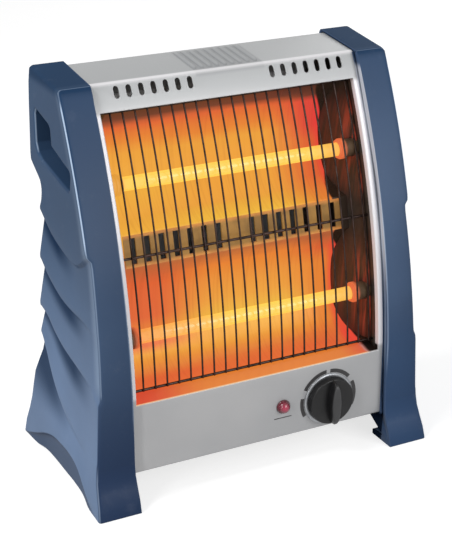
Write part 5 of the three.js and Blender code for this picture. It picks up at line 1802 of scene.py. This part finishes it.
# ------------------------------------------------------------- the hot chamber
@dataclass
class HotChamber(Assembly):
    """Reflector, guard, quartz tubes, elements and their ceramic caps."""

    cover_y: float = 110.0
    cheek_front: tuple = (22.3, 110.9)
    cheek_rear: tuple = (57.0, 96.3)
    strip_mid: float = 192.6
    strip_height: float = 24.5
    strip_setback: float = 37.0
    strip_sheet: float = 0.8
    slot_width: float = 5.0
    slot_pitch: float = 12.3
    slot_first: float = 15.0
    slot_count: int = 7
    slot_margin: float = 2.2
    wires: int = 22
    wire_reach: float = 107.6
    wire_radius: float = 0.8
    rail_radius: float = 1.1
    rail_reach: float = 113.3
    wire_setback: float = 19.0
    guard_top: float = 299.0
    tube_radius: float = 5.5
    tube_half: float = 100.0
    coil_radius: float = 2.8
    coil_wire: float = 0.42
    coil_pitch: float = 1.7
    cap: tuple = ((5.8, 100.3), (5.8, 95.0), (7.0, 95.0), (7.5, 95.5), (7.5, 97.0), (8.2, 97.0),
                  (8.5, 97.4), (8.5, 100.6), (8.2, 101.0), (7.5, 101.0), (7.5, 108.0), (7.2, 108.4),
                  (7.2, 109.4), (7.5, 109.8), (7.5, 116.0), (7.0, 116.5), (1.8, 116.5), (1.8, 100.3))

    def reflector(self) -> Object:
        """Models the two troughs rolled in one sheet, with the strip's slots behind it.

        Returns:
            The dressed sheet, bright on the sides that face the tubes.
        """
        gap = self.strip_sheet + CLEAR
        low, high = ((float(SIDE.front_y(z)) + self.strip_setback, z)
                     for z in spread(2, self.strip_height, self.strip_mid))
        lower, upper = SIDE.tube(SIDE.lower_tube), SIDE.tube(SIDE.upper_tube)
        sill = float(SIDE.bezel_y(SIDE.window_low)) + 18.0
        line = curve((sill + CLEAR, SIDE.window_low - 0.2), (self.cover_y - 33.0, lower[1] - 44.0),
                     (self.cover_y - 23.0, lower[1] + 22.0), (low[0] + gap, low[1] - 1.0))
        line += curve((high[0] + gap, high[1] + 1.0), (self.cover_y, upper[1] - 26.0),
                      (self.cover_y, upper[1] + 32.0), (upper[0] + 18.0, SIDE.window_high - 3.0))
        ends = [np.interp(y - float(SIDE.front_y(z)), *zip(self.cheek_front, self.cheek_rear)) - CLEAR
                for y, z in line]
        sheet = patch("rolled_reflector", [[(end * f, y, z) for f in np.linspace(-1.0, 1.0, 25)]
                                           for end, (y, z) in zip(ends, line)])
        backwards = sum(f.normal.y for f in sheet.data.polygons) > 0.0
        modify(sheet, "SOLIDIFY", thickness=0.7 * MM, offset=1.0 if backwards else -1.0)
        outward(sheet)
        half = self.slot_width / 2.0
        places = [side * (self.slot_first + i * self.slot_pitch)
                  for side in (-1, 1) for i in range(self.slot_count)]
        cut(sheet, merge(*(block("slot", (x - half, low[0] - 6.0, low[1] + self.slot_margin),
                                 (x + half, high[0] + 6.0, high[1] - self.slot_margin))
                           for x in places)))
        self.mount(sheet, Finish.MIRROR, "bright_sheet", "reflector", angle=40.0)
        sheet.data.materials.append(self.paints.get(Finish.STEEL))
        for item in sheet.data.polygons:
            y, z = upper if item.center.z > self.strip_mid * MM else lower
            towards = Vector((item.center.x, (y - HALF_DEPTH) * MM, z * MM)) - item.center
            item.material_index = 0 if item.normal.dot(towards) > 0.0 else 1
        return sheet

    def guard(self) -> Object:
        """Models the welded guard of upright wires on three rails.

        Returns:
            The dressed guard.
        """
        radius, rail = self.wire_radius, self.rail_radius
        pitch = 2.0 * self.wire_reach / (self.wires - 1)
        turn = np.linspace(0.0, math.tau, 9)
        turn[-1] = 0.0
        rows = []
        for z in np.linspace(SIDE.window_low + 1.0, self.guard_top + rail, 25):
            y = float(SIDE.front_y(z)) + self.wire_setback
            lean = math.atan(float(SIDE.front_y(z + 0.5)) - float(SIDE.front_y(z - 0.5)))
            rows.append([(radius * math.cos(t) - self.wire_reach, y + radius * math.sin(t) * math.cos(lean),
                          z - radius * math.sin(t) * math.sin(lean)) for t in turn])
        guard = modify(solid("welded_guard", rows), "ARRAY", count=self.wires, use_relative_offset=False,
                       use_constant_offset=True, constant_offset_displace=(pitch * MM, 0.0, 0.0))
        low = SIDE.window_low + rail + CLEAR
        rails = []
        for z in (low, (low + self.guard_top) / 2.0, self.guard_top):
            y = float(SIDE.front_y(z)) + self.wire_setback + radius + rail - 0.25
            rails.append(rod("rail", (-self.rail_reach, y, z), (self.rail_reach, y, z), rail, 12))
        return self.mount(merge(guard, *rails), Finish.WIRE, "chromed_wire", "guard_grille", angle=60.0)

    def element(self, where: str, height: float) -> list[Object]:
        """Quartz tube, wound element and two caps of one bar.

        Args:
            where: upper or lower.
            height: height of its axis.

        Returns:
            The four pieces.
        """
        y, z = SIDE.tube(height)
        half, radius = self.tube_half, self.tube_radius
        ring = [(radius - 1.2, -half), (radius - 0.5, -half), (radius, 0.6 - half),
                *((radius, half * f) for f in (-0.5, 0.0, 0.5)), (radius, half - 0.6),
                (radius - 0.5, half), (radius - 1.2, half)]
        tube = turned(f"quartz_bar_{where}", Axis.X, (0.0, y, z), ring, 40, True)
        pieces = [self.mount(tube, Finish.QUARTZ, "quartz", f"quartz_tube_{where}", angle=50.0),
                  self._coil(where, y, z)]
        for side, sign in (("right", 1), ("left", -1)):
            cap = turned(f"end_cap_{where}_{side}", Axis.X, (0.0, y, z),
                         [(r, sign * d) for r, d in self.cap], 40, True)
            pieces.append(self.mount(cap, Finish.CAP, "ceramic", f"ceramic_cap_{where}_{side}", angle=35.0))
        return pieces

    def _coil(self, where: str, y: float, z: float) -> Object:
        """Wire wound along the inside of a tube.

        Args:
            where: upper or lower.
            y: depth of its axis.
            z: height of its axis.

        Returns:
            The dressed wire.
        """
        reach, wire = self.tube_half - 1.0, self.coil_wire
        turns = 2.0 * reach / self.coil_pitch
        steps = int(turns * 12)
        section = [(wire * math.sin(s), self.coil_radius - wire + wire * math.cos(s))
                   for s in (0.0, math.tau / 4, math.tau / 2, math.tau * 0.75, 0.0)]
        rows = [[(x + dx, y + r * math.cos(a), z + r * math.sin(a)) for dx, r in section]
                for a, x in zip(np.linspace(0.0, turns * math.tau, steps), np.linspace(-reach, reach, steps))]
        coil = solid(f"wound_element_{where}", rows)
        return self.mount(coil, Finish.ELEMENT, "element_wire", f"heating_coil_{where}", angle=70.0)

    def build(self) -> list[Object]:
        """Models everything in the hot chamber."""
        return [self.reflector(), self.guard(), *self.element("upper", SIDE.upper_tube),
                *self.element("lower", SIDE.lower_tube)]


# --------------------------------------------------------------------- controls
@dataclass
class Controls(Assembly):
    """Selector knob with its ring, and the pilot lamp's lens."""

    centre: tuple = (62.0, 51.6)
    radius: float = 20.5
    front: float = 1.2
    back: float = 15.2
    disc: float = 6.0
    ridge: float = 4.5
    lamp: tuple = (19.6, 54.0)
    face: float = 17.0

    def knob(self) -> Object:
        """Models the disc with a lens-shaped grip ridge, hollow behind.

        Returns:
            The dressed knob.
        """
        x, z = self.centre
        radius, back, front = self.radius, self.back, self.back - self.disc
        profile = eased([(0.0, front), (radius - 0.6, front), (radius, back - 1.0), (radius, back),
                         (0.0, back)], 1.2, 5)
        disc = turned("grip_knob", Axis.Y, (x, 0.0, z), profile, 96)
        rows = []
        base = front + 1.0
        for f in np.linspace(-1.0, 1.0, 41):
            width = 0.35 + self.ridge * max(0.0, 1.0 - f * f) ** 0.85
            rise = (base - self.front) * max(0.0, 1.0 - abs(f) ** 7) ** 0.5
            rows.append([(x + width * s, base - rise * (1.0 - abs(s) ** 7) ** 0.5, z + f * (radius - 0.6))
                         for s in np.linspace(-1.0, 1.0, 25)])
        combine(disc, solid("ridge", rows))
        cut(disc, rod("room", (x, 13.0, z), (x, back + 1.0, z), 9.0, 40),
            rod("socket", (x, 4.7, z), (x, back + 1.0, z), 3.3))
        return self.mount(outward(disc), Finish.GRIP, "black_plastic", "selector_knob", "knob", 38.0)

    def ring(self) -> Object:
        """Silvery ring behind the knob.

        Returns:
            The dressed ring.
        """
        x, z = self.centre
        front, back = self.face - 1.5, self.face - 0.3
        profile = eased([(8.8, back), (8.8, front), (21.6, front), (22.6, front + 0.7), (22.6, back)], 0.25)
        piece = turned("trim_ring", Axis.Y, (x, 0.0, z), profile, 96, True)
        return self.mount(piece, Finish.SILVER, "silver_ring", "dial_ring", angle=40.0)

    def lens(self) -> Object:
        """Domed lens with a rim.

        Returns:
            The dressed lens.
        """
        x, z = self.lamp
        rim = self.face - CLEAR
        dome = [(6.0 * math.cos(t) * 0.86, rim - 1.2 - 4.8 * math.sin(t))
                for t in np.linspace(math.pi / 2.0, 0.0, 12)]
        profile = [(0.0, dome[0][1]), *dome[1:], (5.4, rim - 1.2), (5.8, rim - 1.1), (6.0, rim - 0.8),
                   (6.0, rim), (4.8, rim), (4.8, rim + 5.9), (0.0, rim + 5.9)]
        piece = turned("lamp_dome", Axis.Y, (x, 0.0, z), profile)
        return self.mount(piece, Finish.LENS, "red_lens", "pilot_lens", angle=40.0)

    def build(self) -> list[Object]:
        """Models the controls."""
        return [self.knob(), self.ring(), self.lens()]


# ------------------------------------------------------------------- small parts
@dataclass
class BackFittings(Assembly):
    """Screws of the rear cover and the cord gland."""

    cover: float = 110.0
    spots: tuple = ((107.5, 60.0, "low"), (107.5, 206.0, "high"))
    gland: tuple = (-62.0, 52.0)

    def screw(self, x: float, z: float, name: str) -> Object:
        """Domed screw with a cross recess.

        Args:
            x: place across the heater.
            z: height.
            name: end of its name.

        Returns:
            The dressed screw.
        """
        out = self.cover + CLEAR
        head = [(0.0, out + 1.8), (1.2, out + 1.75), (2.2, out + 1.4), (2.9, out + 0.8), (3.2, out + 0.2),
                (3.2, out), (1.5, out), (1.5, self.cover - 6.4), (0.9, self.cover - 7.0),
                (0.0, self.cover - 7.0)]
        piece = turned(f"crosshead_{name}", Axis.Y, (x, 0.0, z), head, 28)
        cut(piece, *(block("recess", (x - a, out + 0.8, z - b), (x + a, out + 3.0, z + b))
                     for a, b in ((1.7, 0.35), (0.35, 1.7))))
        return self.mount(piece, Finish.ZINC, "zinc", f"cover_screw_{name}", angle=35.0)

    def inlet(self) -> Object:
        """Ribbed gland that the mains cord goes through.

        Returns:
            The dressed gland.
        """
        x, z = self.gland
        out = self.cover + CLEAR
        profile = [(3.5, self.cover - 6.7), (6.1, self.cover - 6.7), (6.5, self.cover - 6.3),
                   (6.5, self.cover - 1.0), (6.5, out), (8.6, out), (9.0, out + 0.4), (9.0, out + 1.6),
                   (8.5, out + 2.1), (6.8, out + 2.3), (6.2, out + 3.0), (4.1, out + 3.0),
                   (3.5, out + 2.5)]
        piece = turned("ribbed_gland", Axis.Y, (x, 0.0, z), profile, 48, True)
        return self.mount(piece, Finish.BLACK, "black_plastic", "cord_gland", angle=35.0)

    def build(self) -> list[Object]:
        """Models the fittings."""
        return [*(self.screw(sign * x, z, f"{level}_{side}") for x, z, level in self.spots
                  for sign, side in ((1, "right"), (-1, "left"))), self.inlet()]


@dataclass
class CarriedNodes(Assembly):
    """Solids that are shown as they are, with a finish for each."""

    dress: tuple = (
        (Finish.CASING, "rear_cover"), (Finish.STEEL, "base_plate", "end_plate"),
        (Finish.CHEEK, "reflector_cheek"), (Finish.STRIP, "slotted_strip"),
        (Finish.BRASS, "terminal_pin"), (Finish.BLACK, "rotary_switch", "pilot_lamp", "tip_switch"),
        (Finish.ZINC, "switch_shaft", "switch_nut", "tip_plunger", "tip_spring", "panel_screw"),
        (Finish.CERAMIC, "terminal_block"), (Finish.SLEEVE, "lead_"), (Finish.RUBBER, "foot_pad"))

    def build(self) -> list[Object]:
        """Gives every shown solid its finish.

        Returns:
            The solids.
        """
        shown = {name: node for name, node in frame["nodes"].items() if not node.hide_render}
        for name, node in shown.items():
            finish = next(f for f, *starts in self.dress if name.startswith(tuple(starts)))
            self.paints.coat(node, finish)
            LOG.info("%s: dressed as %s", name, finish.name)
        return list(shown.values())


# ----------------------------------------------------------------------- studio
@dataclass
class Studio:
    """Pale floor, white surroundings, soft lights and the camera."""

    floor_size: float = 6.0
    eye: tuple = (-0.5076, -1.0018, 0.6219)
    back: tuple = (-0.4175, -0.8211, 0.3893)
    aim: tuple = (0.0, 0.0, 0.16)
    lens: float = 97.25
    sensor: float = 36.0
    far: float = 50.0
    lights: tuple = (("key", (-1.2, -0.1, 1.7), (0.6, 0.6), 20.0),
                     ("side", (-1.45, -0.85, 0.8), (0.2, 1.5), 10.0),
                     ("front", (0.95, -2.2, 1.2), (1.6, 1.6), 36.0),
                     ("rear", (1.7, 1.3, 0.9), (1.4, 1.4), 10.0))

    @staticmethod
    def _shader(graph: Graph, kind: str, level: float, **inputs: float) -> Link:
        """Grey shader of a level of brightness."""
        return graph.node(kind, None, {"Color": (level, level, level, 1.0), **inputs})

    @staticmethod
    def _split(graph: Graph, lit: Link, seen: Link) -> Union[Material, bpy.types.World]:
        """Ends a graph in one shader for the light and another for what the camera sees.

        Args:
            graph: graph to end.
            lit: shader for the other rays.
            seen: shader for camera, glossy and transmission rays.

        Returns:
            The graph's owner.
        """
        camera, glossy, clear = (graph.node("LightPath", output=f"Is {kind} Ray")
                                 for kind in ("Camera", "Glossy", "Transmission"))
        share = camera.most(glossy).most(clear)
        return graph.close(graph.node("MixShader", None, {0: share, 1: lit, 2: seen}))

    @staticmethod
    def _placed(name: str, data: bpy.types.ID, spot: Place, back: Vector) -> Object:
        """Adds a lamp or a camera that looks against a direction.

        Args:
            name: name of the object.
            data: lamp or camera.
            spot: its place.
            back: direction from what it looks at.

        Returns:
            The object.
        """
        item = bpy.data.objects.new(name, data)
        bpy.context.scene.collection.objects.link(item)
        item.location = spot
        item.rotation_euler = back.to_track_quat("Z", "Y").to_euler()
        return item

    def floor(self) -> None:
        """Pale floor that keeps the heater's shadow."""
        deselect()
        bpy.ops.mesh.primitive_plane_add(size=self.floor_size)
        plane = bpy.context.object
        plane.name = "studio_floor"
        g = Graph.named("pale_floor")
        half, lift = self._shader(g, "BsdfDiffuse", 0.42), self._shader(g, "Emission", 0.72, Strength=1.0)
        seen = g.node("AddShader", None, {0: half, 1: lift})
        plane.data.materials.append(self._split(g, self._shader(g, "BsdfDiffuse", 0.5), seen))

    def world(self) -> None:
        """White surroundings that light the heater softly."""
        g = Graph(bpy.data.worlds.new("studio"))
        soft, white = (self._shader(g, "Background", 1.0, Strength=power) for power in (0.3, 1.0))
        bpy.context.scene.world = self._split(g, soft, white)

    def lamps(self) -> None:
        """Soft lights that point at the heater."""
        for name, spot, size, power in self.lights:
            data = bpy.data.lights.new(name, "AREA")
            data.shape = "RECTANGLE"
            data.size, data.size_y = size
            data.energy = power
            self._placed(name, data, spot, Vector(spot) - Vector(self.aim))

    def camera(self) -> None:
        """Camera of the photograph."""
        data = bpy.data.cameras.new("camera")
        data.lens = self.lens
        data.sensor_fit = "VERTICAL"
        data.sensor_height = self.sensor
        data.clip_end = self.far
        bpy.context.scene.camera = self._placed("camera", data, self.eye, Vector(self.back))

    def build(self) -> None:
        """Sets the stage."""
        self.floor()
        self.world()
        self.lamps()
        self.camera()
        bpy.context.scene.view_settings.view_transform = "Standard"


def main() -> None:
    """Builds the heater, piece by piece, and its stage."""
    logging.basicConfig(level=logging.INFO, format="%(name)s: %(message)s")
    Studio().build()
    paints = Paintbox()
    for kind in (SidePanel, FrontCasing, HotChamber, Controls, BackFittings, CarriedNodes):
        pieces = kind(paints).build()
        LOG.info("%s: %d pieces", kind.__name__, len(pieces))
    deselect()


if __name__ == "__main__":
    main()
